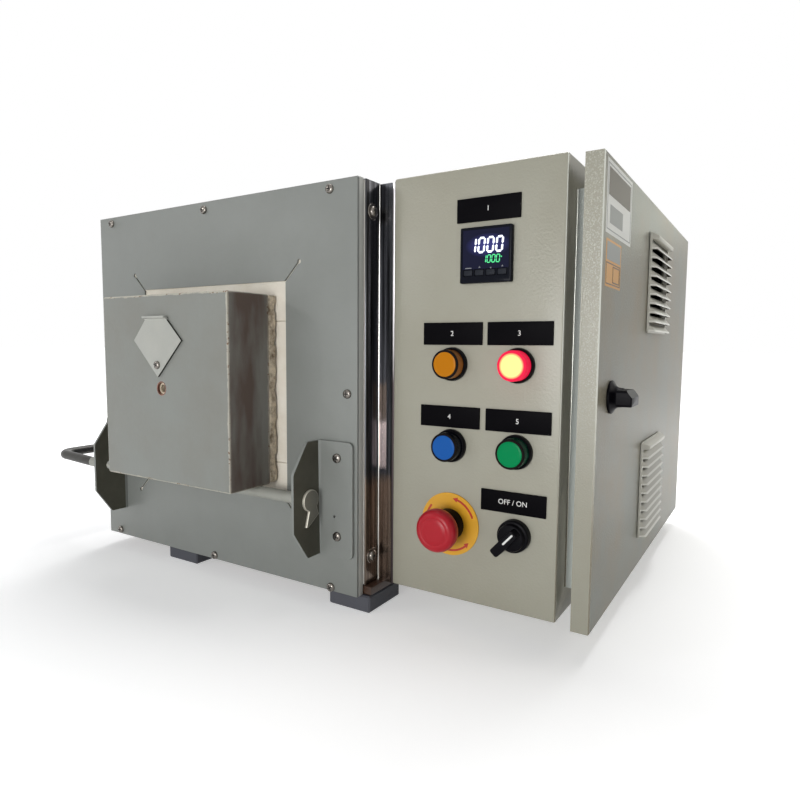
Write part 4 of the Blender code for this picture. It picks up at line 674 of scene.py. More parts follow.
# %% [markdown]
# ## Folded sheet
#
# Sheet steel is folded in a press, and a fold always has a radius. The CAD solids have sharp corners
# there, which no light ever catches. A copy of the solid is merged from loose triangles into flat faces,
# and its long outer corners are then rounded, so each fold draws its own bright line.


# %% Rounded copies of the sheet pieces
def merged(node):
    """A CAD node's mesh as joined flat faces."""
    bm = bmesh.new()
    bm.from_mesh(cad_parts[node].data)
    bmesh.ops.remove_doubles(bm, verts=bm.verts, dist=1e-6)
    bmesh.ops.dissolve_limit(bm, angle_limit=math.radians(0.5), verts=bm.verts, edges=bm.edges)
    return bm


def outer_corners(bm, least_mm, folds_x=()):
    """The straight convex edges of at least this length that lie on the mesh's box, or on it and a fold."""
    low = [min(v.co[i] for v in bm.verts) for i in range(3)]
    high = [max(v.co[i] for v in bm.verts) for i in range(3)]

    def on_box(edge):
        sides = 0
        for i in range(3):
            for limit in (low[i], high[i]):
                sides += all(abs(v.co[i] - limit) < 1e-5 for v in edge.verts)
        for x in folds_x:
            sides += all(abs(v.co.x - bench(x, 0, 0).x) < 1e-5 for v in edge.verts)
        return sides >= 2

    return [
        e for e in bm.edges
        if len(e.link_faces) == 2 and e.calc_length() > least_mm / 1000 and e.is_convex and on_box(e)
    ]


def folded(node, body, material, radius, least_mm=60, steps=3, others=(), folds_x=()):
    """The node again, with its outer corners rounded. Others are (test of a face, its own finish)."""
    bm = merged(node)
    soften(bm, outer_corners(bm, least_mm, folds_x), radius, steps)
    materials = [material]
    bm.normal_update()
    for number, (test, finish_there) in enumerate(others, 1):
        materials.append(finish_there)
        for face in bm.faces:
            if test(face):
                face.material_index = number
    return finish(node + "_sheet", bm, materials, body, [node])


def faces_right(face):
    return face.normal.x > 0.9


def on_fold(face):
    """The bend between the front of a sheet and its right-hand side."""
    return face.normal.x > 0.3 and face.normal.y < -0.3


def on_collar(face):
    """The front of the collar that the enclosure's door closes on."""
    return face.normal.y < -0.9 and face.calc_center_median().x > bench(599, 0, 0).x


# The body's lip is folded too, thirteen millimetres short of the collar's rim.
LIP_DEPTH = 13.0
LIP_X = extent("enclosure_body")[1].x - LIP_DEPTH
# The collar's front takes the coat painted paler as light, and the fold takes the painted glint.
folded(
    "enclosure_body", "furnace", pebble_coat, 2.2,
    others=[(on_collar, lit_collar_coat), (on_fold, fold_coat)], folds_x=(LIP_X,),
)
print("lip", LIP_X)
# The door's outer face takes the coat painted darker as shade, and its fold takes the painted glint.
folded(
    "enclosure_door", "enclosure_hatch", heavy_coat, 1.4,
    others=[(faces_right, shaded_face_coat), (on_fold, fold_coat)],
)
# The frame's right-hand face, in the slot, is painted paler as light.
pale_enamel = paint("enamel_painted_light_in_the_slot", "#c3c4c0", "#aeafaa", 0.42, 3.0, 0.1)
folded("front_frame", "furnace", grey_enamel, 1.2, others=[(faces_right, pale_enamel)])
folded("front_plate", "furnace", grey_enamel, 0.6)
folded("back_cover", "furnace", grey_enamel, 0.6)
# The casing's right-hand faces and the spacer take the slot stainless, with its painted reflections.
folded(
    "casing", "furnace", stainless, 0.9,
    others=[(lambda face: face.normal.x > 0.2, slot_stainless)],
)
folded("spacer_channel", "furnace", slot_stainless, 0.5)
folded("base_frame", "furnace", brown_paint, 1.5)
for corner in ("front_left", "front_right", "rear_left", "rear_right"):
    folded("foot_" + corner, "furnace", slate_paint, 1.2, least_mm=10)

# The body's lip turns into the collar through a small hollow bend, painted bright as a glint that darkens
# toward the bottom.
COLLAR_Y, COLLAR_LOW, COLLAR_LENGTH, BEND = 55.0, 52.2, 349.6, 1.0
hollow = [(LIP_X, COLLAR_Y), (LIP_X, COLLAR_Y - BEND)]
for step in range(1, 7):
    angle = math.pi / 2 * step / 6
    hollow.append((LIP_X + BEND * (1 - math.cos(angle)), COLLAR_Y - BEND * (1 - math.sin(angle))))
bend = plate([(x, y, COLLAR_LOW) for x, y in hollow], (0, 0, 1), COLLAR_LENGTH)
finish("collar_bend", bend, fold_coat, "furnace")

# The spacer's two cut edges stand out as lips, each painted as a bright highlight line up the slot.
CHANNEL_LOW, CHANNEL_HIGH = extent("spacer_channel")
lips = [
    slab(
        (x - half, CHANNEL_LOW.y - 1.2, CHANNEL_LOW.z), (x + half, CHANNEL_LOW.y + 0.2, CHANNEL_HIGH.z),
        "Z", radius=0.6, radius_steps=3,
    )
    for x, half in ((CHANNEL_LOW.x + 0.9, 0.75), (CHANNEL_HIGH.x - 1.5, 1.4))
]
finish(
    "spacer_edges", gather((lips[0], 0), (lips[1], 1)), [bright_edge, painted_highlight_edge], "furnace",
)

# Firebrick arrises chip as they are laid, so a joint between two bricks shows as a fine dark groove.
for brick in ("hearth_brick", "roof_brick", "left_brick", "right_brick", "rear_brick"):
    folded(brick, "furnace", firebrick, 0.8, least_mm=20, steps=1)

# %% [markdown]
# ## Cutting one mesh with another
#
# Holes in sheet are easiest with a Boolean. The modifier runs on a pair of objects, its result
# is read back as a mesh, and both helpers are deleted, so no live cutter stays in the file.


# %% Boolean helper
def carve(bm, tool, operation="DIFFERENCE"):
    """Cuts a mesh with another, or joins the two, and frees both."""
    owners = []
    for part in (bm, tool):
        bmesh.ops.remove_doubles(part, verts=part.verts, dist=1e-6)
        bmesh.ops.recalc_face_normals(part, faces=part.faces)
        mesh = bpy.data.meshes.new("operand")
        part.to_mesh(mesh)
        part.free()
        owner = bpy.data.objects.new("operand", mesh)
        bpy.context.scene.collection.objects.link(owner)
        owners.append(owner)
    boolean = owners[0].modifiers.new("cut", "BOOLEAN")
    boolean.object = owners[1]
    boolean.operation = operation
    boolean.solver = "EXACT"
    result = bmesh.new()
    result.from_object(owners[0], bpy.context.evaluated_depsgraph_get())
    for owner in owners:
        mesh = owner.data
        bpy.data.objects.remove(owner)
        bpy.data.meshes.remove(mesh)
    return result


def soften_sharp(bm, width, steps=2, least=40):
    """Rounds every convex edge that turns by more than an angle in degrees."""
    edges = [
        e for e in bm.edges
        if len(e.link_faces) == 2 and e.is_convex and e.calc_face_angle() > math.radians(least)
    ]
    soften(bm, edges, width, steps)
    return bm


def cylinder(centre, axis, near, far, radius, steps=40):
    """A plain bar along an axis, from near to far in millimetres from its centre."""
    return turned(centre, axis, [(near, 0), (near, radius), (far, radius), (far, 0)], steps)


print("boolean helper ready")

# %% [markdown]
# ## The furnace door
#
# The door is a folded steel pan with a block of fibre board in it. Its corners are soft, about four
# millimetres, from bending thick sheet. It was painted by hand in the same grey, and heat and knocks
# have taken the paint off along the edges, where pale primer and rust show.

# %% Door paint with worn edges
DOOR_FACE_Y = -65.0
DOOR_LOW, DOOR_HIGH = (101.5, DOOR_FACE_Y, 120.5), (301.5, -10, 319.5)


def edge_wear(material, low, high, width_mm):
    """1 on the edges of a box and 0 from this far inside its faces, broken up by noise."""
    middle = bench(*[(a + b) / 2 for a, b in zip(low, high)])
    half = [(b - a) / 2000 for a, b in zip(low, high)]
    place = pattern(material)
    offset = add(material, "VectorMath", {0: place, 1: middle}, operation="SUBTRACT")
    away = add(material, "VectorMath", {0: offset.outputs[0]}, operation="ABSOLUTE")
    inside = add(material, "VectorMath", {0: away.outputs[0], 1: half}, operation="SUBTRACT")
    x, y, z = add(material, "SeparateXYZ", {0: inside.outputs[0]}).outputs
    lesser = add(material, "Math", {0: x, 1: y}, operation="MINIMUM")
    greater = add(material, "Math", {0: x, 1: y}, operation="MAXIMUM")
    capped = add(material, "Math", {0: greater.outputs[0], 1: z}, operation="MINIMUM")
    second = add(material, "Math", {0: lesser.outputs[0], 1: capped.outputs[0]}, operation="MAXIMUM")
    rough = add(material, "TexNoise", {"Vector": place, "Scale": 75, "Detail": 6, "Roughness": 0.7})
    ragged = add(
        material, "Math", {0: rough.outputs["Fac"], 1: width_mm / 1000 * 2.2, 2: second.outputs[0]},
        operation="MULTIPLY_ADD",
    )
    return ranged(material, ragged.outputs[0], 0.0, width_mm / 2500).outputs[0]


door_paint = paint("worn_hand_painted_enamel", "#868984", "#7d7b73", 0.5, 5.0, 0.2, clouds=0.6)
door_shader = door_paint.node_tree.nodes["Principled BSDF"]
enamel_colour = door_shader.inputs["Base Color"].links[0].from_socket
wear = edge_wear(door_paint, DOOR_LOW, DOOR_HIGH, 2.0)
chips = add(door_paint, "TexNoise", {"Vector": pattern(door_paint), "Scale": 240, "Detail": 3})
chip_step = ranged(door_paint, chips.outputs["Fac"], 0.60, 0.66)
chip_colour = blend(door_paint, chip_step.outputs[0], srgb("#b5b1a3"), srgb("#77593f"))
worn = blend(door_paint, wear, enamel_colour, chip_colour.outputs[0])

# The side next to the mouth has brown smoke stains that run down the paint, and it is painted darker as shade
# too.
across = add(door_paint, "SeparateXYZ", {0: pattern(door_paint)}).outputs["X"]
on_side = ranged(door_paint, across, bench(300.2, 0, 0).x, bench(301.2, 0, 0).x)
drawn_down = add(door_paint, "Mapping", {"Vector": pattern(door_paint), "Scale": (1, 1, 0.25)})
smoke = add(door_paint, "TexNoise", {"Vector": drawn_down.outputs[0], "Scale": 42, "Detail": 4})
smoke_share = ranged(door_paint, smoke.outputs["Fac"], 0.36, 0.6, low=0.35)
stained = times(door_paint, on_side.outputs[0], smoke_share.outputs[0])
scorch_and_shade_colour = blend(door_paint, stained.outputs[0], worn.outputs[0], srgb("#564840"))
feed(door_paint, scorch_and_shade_colour.outputs[0], door_shader, "Base Color")
print("door face at", DOOR_FACE_Y)

# %% Door pan
PEEPHOLE_X, PEEPHOLE_Z = 200.5, 220.9
pan = slab(DOOR_LOW, DOOR_HIGH, "Y", radius=2.6, edge=2.4, ends=(True, False), edge_steps=4)
pan = carve(pan, slab((103.5, -63, 122.5), (299.5, -9, 317.5), "Y", radius=2.5))
pan = carve(pan, cylinder((PEEPHOLE_X, DOOR_FACE_Y, PEEPHOLE_Z), "Y", -1, 5, 7.6))
stub = turned(
    (101.6, -58, 127), "X", [(0.2, 0), (0.2, 5.0), (-6.8, 5.0), (-8.0, 4.2), (-8.4, 2.8), (-8.5, 0)], 32,
)
finish("door_pan", gather((pan, 0), (stub, 0)), door_paint, "furnace_door", ["door_shell"])

# The hole is lined with a flared bush of thin steel that the heat has turned coppery.
heat_tint = metal("heat_tinted_steel_bush", "#a9867a", "#4e3a33", 0.24, stains=1.0)
liner = turned(
    (PEEPHOLE_X, DOOR_FACE_Y, PEEPHOLE_Z), "Y",
    [
        (4, 7.5), (0.0, 7.5), (-0.15, 7.6), (-0.25, 7.2), (-0.1, 6.6), (7.5, 4.2), (22, 4.0), (22, 4.4),
        (9, 6.0), (4, 7.5),
    ],
    40,
)
finish("peephole_liner", liner, heat_tint, "furnace_door")

# %% [markdown]
# ## The fibre plug
#
# The plug is fibre board cut by hand. Years of heat have browned its edge and broken crumbs out of it.
# A block is cut into small faces, and noise pushes them in, so that its rim is ragged in outline too.

# %% Charred board
# Smoke followed the board's own cracks, so its dark patches are small.
charred = mineral("charred_fibre_board", "#dccfb8", "#4e3825", 3.0, 1.4, dust=1.0, patch_scale=75)
PLUG_LOW, PLUG_HIGH = extent("door_plug")
print("plug", PLUG_LOW[:], PLUG_HIGH[:])


def crumble(bm, centre, reach_mm, scale_mm, keep_front):
    """Pushes each vertex toward the plug's middle line by noise, up to a reach in millimetres."""
    middle = bench(*centre)
    for vert in bm.verts:
        strength = noise.fractal(vert.co * (1000 / scale_mm), 0.8, 2.1, 4)
        push = max(0.0, 0.45 + strength) * reach_mm / 1000
        inward = Vector((middle.x - vert.co.x, 0, middle.z - vert.co.z))
        away = max(abs(inward.x), abs(inward.z))
        if away > 0.09:
            vert.co += inward.normalized() * push
        if keep_front and abs(vert.co.y - bench(0, PLUG_HIGH[1], 0).y) < 1e-4:
            vert.co.y -= push * 0.5
    return bm


plug = slab(
    tuple(PLUG_LOW + Vector((0.3, 0, 0.3))), tuple(PLUG_HIGH - Vector((0.3, 0, 0.3))), "Y", radius=2,
)
bmesh.ops.bisect_plane(
    plug, geom=plug.verts[:] + plug.edges[:] + plug.faces[:], plane_co=bench(0, -12, 0), plane_no=(0, 1, 0),
)
for step in range(1, 60):
    x = PLUG_LOW.x + step * (PLUG_HIGH.x - PLUG_LOW.x) / 60
    z = PLUG_LOW.z + step * (PLUG_HIGH.z - PLUG_LOW.z) / 60
    for place, way in ((bench(x, 0, 0), (1, 0, 0)), (bench(0, 0, z), (0, 0, 1))):
        bmesh.ops.bisect_plane(
            plug, geom=plug.verts[:] + plug.edges[:] + plug.faces[:], plane_co=place, plane_no=way,
        )
for y in (-10.5, -9, -7.5, -6, -4.5, -3, -1.5):
    bmesh.ops.bisect_plane(
        plug, geom=plug.verts[:] + plug.edges[:] + plug.faces[:], plane_co=bench(0, y, 0),
        plane_no=(0, 1, 0),
    )
for vert in plug.verts:
    # Behind the pan's rim the board is a little wider than the pan.
    if vert.co.y > bench(0, -9.6, 0).y:
        for axis, reach, middle_place in ((0, 3.6, 201.5), (2, 2.0, 220.0)):
            half = (PLUG_HIGH[axis] - PLUG_LOW[axis]) / 2
            away = vert.co[axis] * 1000 - (
                bench(middle_place, 0, 0).x * 1000 if axis == 0 else middle_place
            )
            vert.co[axis] += away / half * reach / 1000
crumble(plug, (201.5, 0, 220), 2.2, 9, True)
plug = carve(plug, cylinder((PEEPHOLE_X, DOOR_FACE_Y, PEEPHOLE_Z), "Y", -1, 70, 4.2))
finish("plug_board", plug, charred, "furnace_door", ["door_plug"], sharp=50)

# %% [markdown]
# ## The peephole cover
#
# A five-sided flap of sheet hangs by a screw at its lowest point. Its top edge is bent forward as a
# finger lip. The outline is one face, its top edge is spun through the bend and drawn out, and the
# whole sheet is then given its thickness. Its paint has been rubbed pale by fingers.

# %% Peephole cover
PIVOT_X, PIVOT_Z = 198.0, 245.6
COVER_BACK = -65.3
worn_paint = paint("rubbed_pale_enamel", "#a4a6a0", "#b3b3ab", 0.42, 4.0, 0.1, clouds=0.8)
sheared_edge, _ = surface("flap_rim_painted_dark_as_shade", "#2f2d2a", 0.6, metallic=0.6)


def flap():
    """The sheet of the cover, bent and thickened."""
    bm = bmesh.new()
    thickness, lip_bend, top = 2.2, 3.8, 292.6
    outline = [
        (PIVOT_X, 233.0), (PIVOT_X + 38.3, 271.3), (PIVOT_X + 16.5, top),
        (PIVOT_X - 19.0, top), (PIVOT_X - 38.3, 271.3),
    ]
    corners = [bm.verts.new(bench(x, COVER_BACK, z)) for x, z in outline]
    bm.faces.new(corners)
    edge = bm.edges.get((corners[2], corners[3]))
    bent = bmesh.ops.spin(
        bm, geom=[corners[2], corners[3], edge], cent=bench(PIVOT_X, COVER_BACK - lip_bend, top),
        axis=(1, 0, 0), dvec=(0, 0, 0), angle=math.radians(84), steps=6, use_merge=False,
    )["geom_last"]
    drawn = bmesh.ops.extrude_edge_only(bm, edges=[g for g in bent if isinstance(g, bmesh.types.BMEdge)])
    moved = [g for g in drawn["geom"] if isinstance(g, bmesh.types.BMVert)]
    bmesh.ops.translate(bm, verts=moved, vec=Vector((0, -0.0024, 0.0002)))
    bmesh.ops.recalc_face_normals(bm, faces=bm.faces)
    if sum(f.normal.y * f.calc_area() for f in bm.faces) > 0:
        bmesh.ops.reverse_faces(bm, faces=bm.faces)
    bmesh.ops.solidify(bm, geom=bm.faces[:], thickness=-thickness / 1000)
    bmesh.ops.recalc_face_normals(bm, faces=bm.faces)
    return bm


cover = soften_sharp(flap(), 0.25, least=50)
for face in cover.faces:
    # The rim of the sheet is painted dark as the shade along its edge.
    on_rim = abs(face.normal.y) < 0.2 and face.calc_center_median().z < bench(0, 0, 292).z
    face.material_index = int(on_rim)
finish(
    "cover_flap", cover, [worn_paint, sheared_edge], "peephole_shutter", ["peephole_cover"],
)
screws("cover_pivot_screw", [(PIVOT_X, -67.5, PIVOT_Z)], FRONT, "furnace_door", radius=4.3, height=2.6)

# %% [markdown]
# ## Rod, lever and brackets
#
# The door hangs on a twelve millimetre bar that turns in two folded brackets. The bar's left end bends
# back as the lever. A bend is a quarter circle swept by a round section, so the lever is a path with
# a round bevel, turned into a mesh before anything else touches it.

# %% Rod
ROD_LOW, ROD_HIGH = extent("hinge_rod")
ROD_Y, ROD_Z, ROD_R = -20.0, 114.2, 6.0
ROD_LEFT, ROD_RIGHT = ROD_LOW.x, ROD_HIGH.x
span = ROD_RIGHT - ROD_LEFT
rod = turned(
    (ROD_LEFT, ROD_Y, ROD_Z), "X",
    [(0, 0), (0, ROD_R), (span - 0.6, ROD_R), (span, ROD_R - 0.6), (span, 0)], 40,
)
finish("rod_bar", rod, rod_enamel, "furnace_door", ["hinge_rod"])

# %% Lever
LEVER_LOW, LEVER_HIGH = extent("lever_handle")
LEVER_X, LEVER_BEND, LEVER_END = LEVER_LOW.x + ROD_R, 20.0, 140.0
BEND_Z, END_Z = 117.0, 118.2
path = [(LEVER_HIGH.x, ROD_Y, ROD_Z), (LEVER_HIGH.x - 5, ROD_Y, ROD_Z + 0.2)]
for step in range(17):
    angle = math.pi / 2 * step / 16
    path.append(
        (LEVER_X + LEVER_BEND * (1 - math.sin(angle)), ROD_Y + LEVER_BEND * (1 - math.cos(angle)), BEND_Z)
    )
path.append((LEVER_X, LEVER_END - 2.2, END_Z))


def bar_along(path, radius, resolution=6):
    """A round bar that follows bench points, as a mesh."""
    curve = bpy.data.curves.new("path", "CURVE")
    curve.dimensions = "3D"
    curve.bevel_depth = radius / 1000
    curve.bevel_resolution = resolution
    curve.use_fill_caps = True
    line = curve.splines.new("POLY")
    line.points.add(len(path) - 1)
    for point, place in zip(line.points, path):
        point.co = (*bench(*place), 1)
    holder = bpy.data.objects.new("path", curve)
    mesh = bpy.data.meshes.new_from_object(holder)
    bm = bmesh.new()
    bm.from_mesh(mesh)
    bpy.data.objects.remove(holder)
    bpy.data.curves.remove(curve)
    bpy.data.meshes.remove(mesh)
    bmesh.ops.remove_doubles(bm, verts=bm.verts, dist=1e-6)
    bmesh.ops.recalc_face_normals(bm, faces=bm.faces)
    return bm


tip = turned(
    (LEVER_X, LEVER_END - 2.2, END_Z), "Y", [(0, 6.0), (0.9, 5.8), (1.7, 5.1), (2.1, 4.0), (2.2, 0)], 32,
)
finish(
    "lever_bar", gather(bar_along(path, ROD_R), tip), bar_steel, "furnace_door",
    ["lever_handle"],
)


# %% Brackets
BEND_SCREWS_Z = (156.2, 76.9)
EAR_FRONT, EAR_BACK, EAR_LOW, EAR_TOP = -42.5, -0.3, 55.7, 172.7
EAR_CUT_Y, EAR_CUT_Z = 20.5, 29.5
SHEET = 3.0


def bracket(side, outward):
    """An ear with a bore for the rod, and its flange, joined by a bend."""
    low, high = extent("bracket_" + side)
    ear_x, tip = (low.x, high.x) if outward > 0 else (high.x - SHEET, low.x)
    root = ear_x if outward > 0 else ear_x + SHEET
    ear = [
        (EAR_BACK, EAR_LOW), (EAR_FRONT + EAR_CUT_Y, EAR_LOW), (EAR_FRONT, EAR_LOW + EAR_CUT_Z),
        (EAR_FRONT, EAR_TOP - EAR_CUT_Z), (EAR_FRONT + EAR_CUT_Y, EAR_TOP), (EAR_BACK, EAR_TOP),
    ]
    solid = plate([(ear_x, y, z) for y, z in ear], (1, 0, 0), SHEET)
    soften(
        solid,
        [e for e in solid.edges if runs_along(e, AXES["X"]) and e.verts[0].co.y < bench(0, -10, 0).y], 1.6,
        4,
    )
    flange = slab((min(root, tip), EAR_BACK - SHEET, EAR_LOW), (max(root, tip), EAR_BACK, EAR_TOP), "Y")
    corners = [
        e
        for e in flange.edges if runs_along(e, AXES["Y"]) and abs(
            e.verts[0].co.x - bench(tip, 0, 0).x
        ) < 1e-5
    ]
    soften(flange, corners, 5.5, 6)
    solid = carve(solid, flange, "UNION")
    bmesh.ops.dissolve_limit(solid, angle_limit=math.radians(0.5), verts=solid.verts, edges=solid.edges)
    crease_x = ear_x + SHEET if outward > 0 else ear_x
    for x, y, radius in ((crease_x, EAR_BACK - SHEET, 2.4), (root, EAR_BACK, 4.0)):
        crease = [
            e for e in solid.edges if runs_along(e, AXES["Z"]) and e.calc_length() > 0.1
            and (e.verts[0].co - bench(x, y, 0)).to_2d().length < 1e-5
        ]
        soften(solid, crease, radius, 4)
    solid = carve(solid, cylinder((ear_x, ROD_Y, ROD_Z), "X", -2, 5, 6.4))
    if outward > 0:
        solid = carve(solid, cylinder((381.8, EAR_BACK, 96.7), "Y", -5, 2, 1.4, 16))
    solid.normal_update()
    # The ear's flat faces take the olive paint, painted dark as shade.
    for face in solid.faces:
        face.material_index = int(abs(face.normal.x) > 0.9 and face.calc_area() > 0.001)
    finish(
        "bracket_sheet_" + side, solid, [grey_enamel, ear_shade_paint], "furnace",
        ["bracket_" + side],
    )
    screw_x = (low.x + 25.25) if outward > 0 else (high.x - 22.25)
    screws(
        "bracket_screws_" + side, [(screw_x, EAR_BACK - SHEET, z) for z in BEND_SCREWS_Z], FRONT, "furnace",
        radius=4.8,
    )


bracket("left", -1)
bracket("right", 1)

# %% [markdown]
# ## The rod keeper
#
# A flame-cut tab covers the rod's end and stops it sliding out. It has a round head and a pointed lug.
# Its faces are painted darker as shade, and its cut edge is painted bright as a highlight.

# %% Rod keeper
KEEPER_LOW, KEEPER_HIGH = extent("rod_keeper")
HEAD_RADIUS = 11.0
LUG = [(-23.0, 103.5), (-27.5, 88.2), (-24.5, 88.2), (-8.5, 98.4)]
head = [math.pi * (-0.22 + 1.46 * i / 28) for i in range(29)]
tab = [(ROD_Y + HEAD_RADIUS * math.cos(t), ROD_Z + HEAD_RADIUS * math.sin(t)) for t in head] + LUG
keeper = plate([(KEEPER_LOW.x, y, z) for y, z in tab], (1, 0, 0), KEEPER_HIGH.x - KEEPER_LOW.x)
soften_sharp(keeper, 0.7, 3, least=50)
# The tab's faces are painted darker as shade, and its cut edge bright as a highlight.
keeper_steel = paint("cut_steel_with_painted_shade", "#77756a", "#67645a", 0.4, 3.0, 0.1)
cut_edge, _ = surface("flame_cut_edge_painted_bright", "#cfcbbd", 0.35, metallic=0.5)
keeper.normal_update()
for face in keeper.faces:
    face.material_index = int(abs(face.normal.x) < 0.98)
finish("keeper_tab", keeper, [keeper_steel, cut_edge], "furnace", ["rod_keeper"])

# %% [markdown]
# ## Pilot lamps
#
# Each lamp is a black threaded body with a low bezel, and a dyed cap that screws into it. The cap has a
# deep skirt, a rim where it bends, and a flat face. Except on the lit red lamp, skirt and rim are painted
# darker than the face as shade. One profile of each is spun for all four lamps.

# %% Dyed plastics
def dyed(name, colour, roughness=0.2):
    """Clear plastic with a dye in it. The pale diffuser behind it shows as the dye's own colour."""
    return surface(name, colour, roughness, IOR=1.49, Specular_IOR_Level=0.07)


COLUMNS, ROWS = (494.7, 559.9), (251.0, 174.7)
amber, _ = dyed("amber_dyed_face", "#c47a12")
amber_skirt, _ = dyed("amber_skirt_painted_darker_as_shade", "#a3692f")
blue, _ = dyed("blue_dyed_face", "#1f5cab")
blue_skirt, _ = dyed("blue_skirt_painted_darker_as_shade", "#12151f")
green, _ = dyed("green_dyed_face", "#008a50")
green_skirt, _ = dyed("green_skirt_painted_darker_as_shade", "#124634")
dark_rim, _ = dyed("cap_rim_painted_dark_as_shade", "#0d0908", 0.5)

# The red lamp is on. Its middle is so bright that it looks yellow white, and its skirt glows with the dye.
red, red_shader = dyed("red_dyed_face_lit", "#d8253c")
spot = add(
    red, "VectorMath", {0: pattern(red), 1: bench(COLUMNS[1] - 1.0, 14, ROWS[0])}, operation="SUBTRACT",
)
flat = add(red, "VectorMath", {0: spot.outputs[0], 1: (1, 0, 1)}, operation="MULTIPLY")
out_from = add(red, "VectorMath", {0: flat.outputs[0]}, operation="LENGTH")
ring = ranged(red, out_from.outputs["Value"], 0.0090, 0.0113)
glow = blend(red, ring.outputs[0], srgb("#ffe98a"), srgb("#e01c3a"))
feed(red, glow.outputs[0], red_shader, "Emission Color")
red_shader.inputs["Emission Strength"].default_value = 1.3
red_skirt, skirt_shader = dyed("red_dyed_skirt_lit", "#c81a3c")
skirt_shader.inputs["Emission Color"].default_value = srgb("#ff1d4a")
skirt_shader.inputs["Emission Strength"].default_value = 0.55
print("dyed plastics")

# %% Lamps
BODY_PROFILE = [
    (26.1, 0), (26.1, 13.6), (25.2, 13.6), (24.9, 13.9), (24.8, 14.4), (25.1, 15.0), (25.8, 15.3),
    (29.3, 15.7), (29.7, 15.5), (29.7, 10.8), (71.7, 10.8), (71.7, 0),
]
SKIRT_PROFILE = [(26.0, 0), (26.0, 13.4), (15.4, 13.4), (14.6, 13.3), (14.2, 12.8), (14.1, 11.2), (14.1, 0)]
FACE_PROFILE = [(14.4, 0), (14.4, 11.3), (13.9, 11.2), (13.65, 10.7), (13.55, 9.2), (13.5, 5.0), (13.5, 0)]


def lamp(colour, x, z, face_dye, skirt_dye, rim_dye):
    """The body and the cap of one pilot lamp."""
    body = turned((x, 0, z), "Y", BODY_PROFILE, 56)
    finish("lamp_body_" + colour, body, black_plastic, "furnace", ["lamp_" + colour])
    skirt = turned((x, 0, z), "Y", SKIRT_PROFILE, 56)
    # The bend at the front takes the rim's painted shade, the rest takes the skirt's.
    for face in skirt.faces:
        face.material_index = 2 if face.calc_center_median().y < bench(0, 15.3, 0).y else 1
    cap = gather((turned((x, 0, z), "Y", FACE_PROFILE, 56), 0), (skirt, None))
    finish(
        "lamp_lens_" + colour, cap, [face_dye, skirt_dye, rim_dye], "furnace",
        ["lens_" + colour],
    )


lamp("amber", COLUMNS[0], ROWS[0], amber, amber_skirt, dark_rim)
lamp("red", COLUMNS[1] - 1.0, ROWS[0], red, red_skirt, red_skirt)
lamp("blue", COLUMNS[0], ROWS[1], blue, blue_skirt, dark_rim)
lamp("green", COLUMNS[1] - 1.0, ROWS[1], green, green_skirt, dark_rim)

# %% [markdown]
# ## Label plates
#
# Small black laminate plates say what each control is. They are numbered here, and only the switch says
# OFF and ON. Type is a curve, so it is made a mesh before it is moved to its plate.

# %% Label plates
laminate = moulded("black_engraving_laminate", "#0b0a0d", 0.4, Specular_IOR_Level=0.02)
ink, _ = surface("white_engraved_fill", "#e9e9e6", 0.6)
PANEL_Y = 30.0


def lettering(words, height_mm, depth_mm=0.12):
    """Raised type as a mesh round the origin, reading along X and up Z, its back at Y 0."""
    curve = bpy.data.curves.new("type", "FONT")
    curve.body = words
    curve.size = height_mm / 1000 / 0.7
    curve.align_x = "CENTER"
    curve.align_y = "CENTER"
    curve.extrude = depth_mm / 2000
    curve.resolution_u = 4
    holder = bpy.data.objects.new("type", curve)
    mesh = bpy.data.meshes.new_from_object(holder)
    bm = bmesh.new()
    bm.from_mesh(mesh)
    bpy.data.objects.remove(holder)
    bpy.data.curves.remove(curve)
    bpy.data.meshes.remove(mesh)
    bmesh.ops.rotate(bm, verts=bm.verts, cent=(0, 0, 0), matrix=Matrix.Rotation(math.pi / 2, 3, "X"))
    return bm


def label(name, low, high, words):
    """A laminate plate on the panel with its type."""
    back = slab(
        (low[0], PANEL_Y - 1.5, low[1]), (high[0], PANEL_Y, high[1]), "Y", radius=0.5, edge=0.2,
        radius_steps=2,
    )
    words = lettering(words, 4.6)
    middle = bench((low[0] + high[0]) / 2, PANEL_Y - 1.55, (low[1] + high[1]) / 2)
    bmesh.ops.translate(words, verts=words.verts, vec=middle)
    return finish(name, gather((back, 0), (words, 1)), [laminate, ink], "furnace")


label("label_controller", (497.8, 378.0), (558.6, 399.0), "1")
label("label_lamp_amber", (464.5, 268.7), (524.9, 289.3), "2")
label("label_lamp_red", (529.8, 268.7), (590.0, 289.3), "3")
label("label_lamp_blue", (462.2, 191.8), (523.6, 211.8), "4")
label("label_lamp_green", (529.5, 191.8), (590.4, 211.8), "5")
label("label_selector", (526.6, 118.8), (588.0, 138.4), "OFF / ON")

# %% [markdown]
# ## Emergency stop
#
# A red mushroom cap stands on a black collar over a yellow disc. The cap's face is flat inside a shallow
# groove, and its rim rolls back over the collar. Three bent arrows on the disc show which way it twists.

# %% Emergency stop
STOP_X, STOP_Z = COLUMNS[0], 99.7
stop = (STOP_X, 0, STOP_Z)
disc = turned(
    stop, "Y",
    [(29.7, 11.3), (29.7, 29.8), (29.5, 30.0), (28.9, 30.0), (28.7, 29.8), (28.7, 11.3), (29.7, 11.3)], 72,
)
red_ink, _ = surface("red_printing_ink", "#b8281c", 0.5)


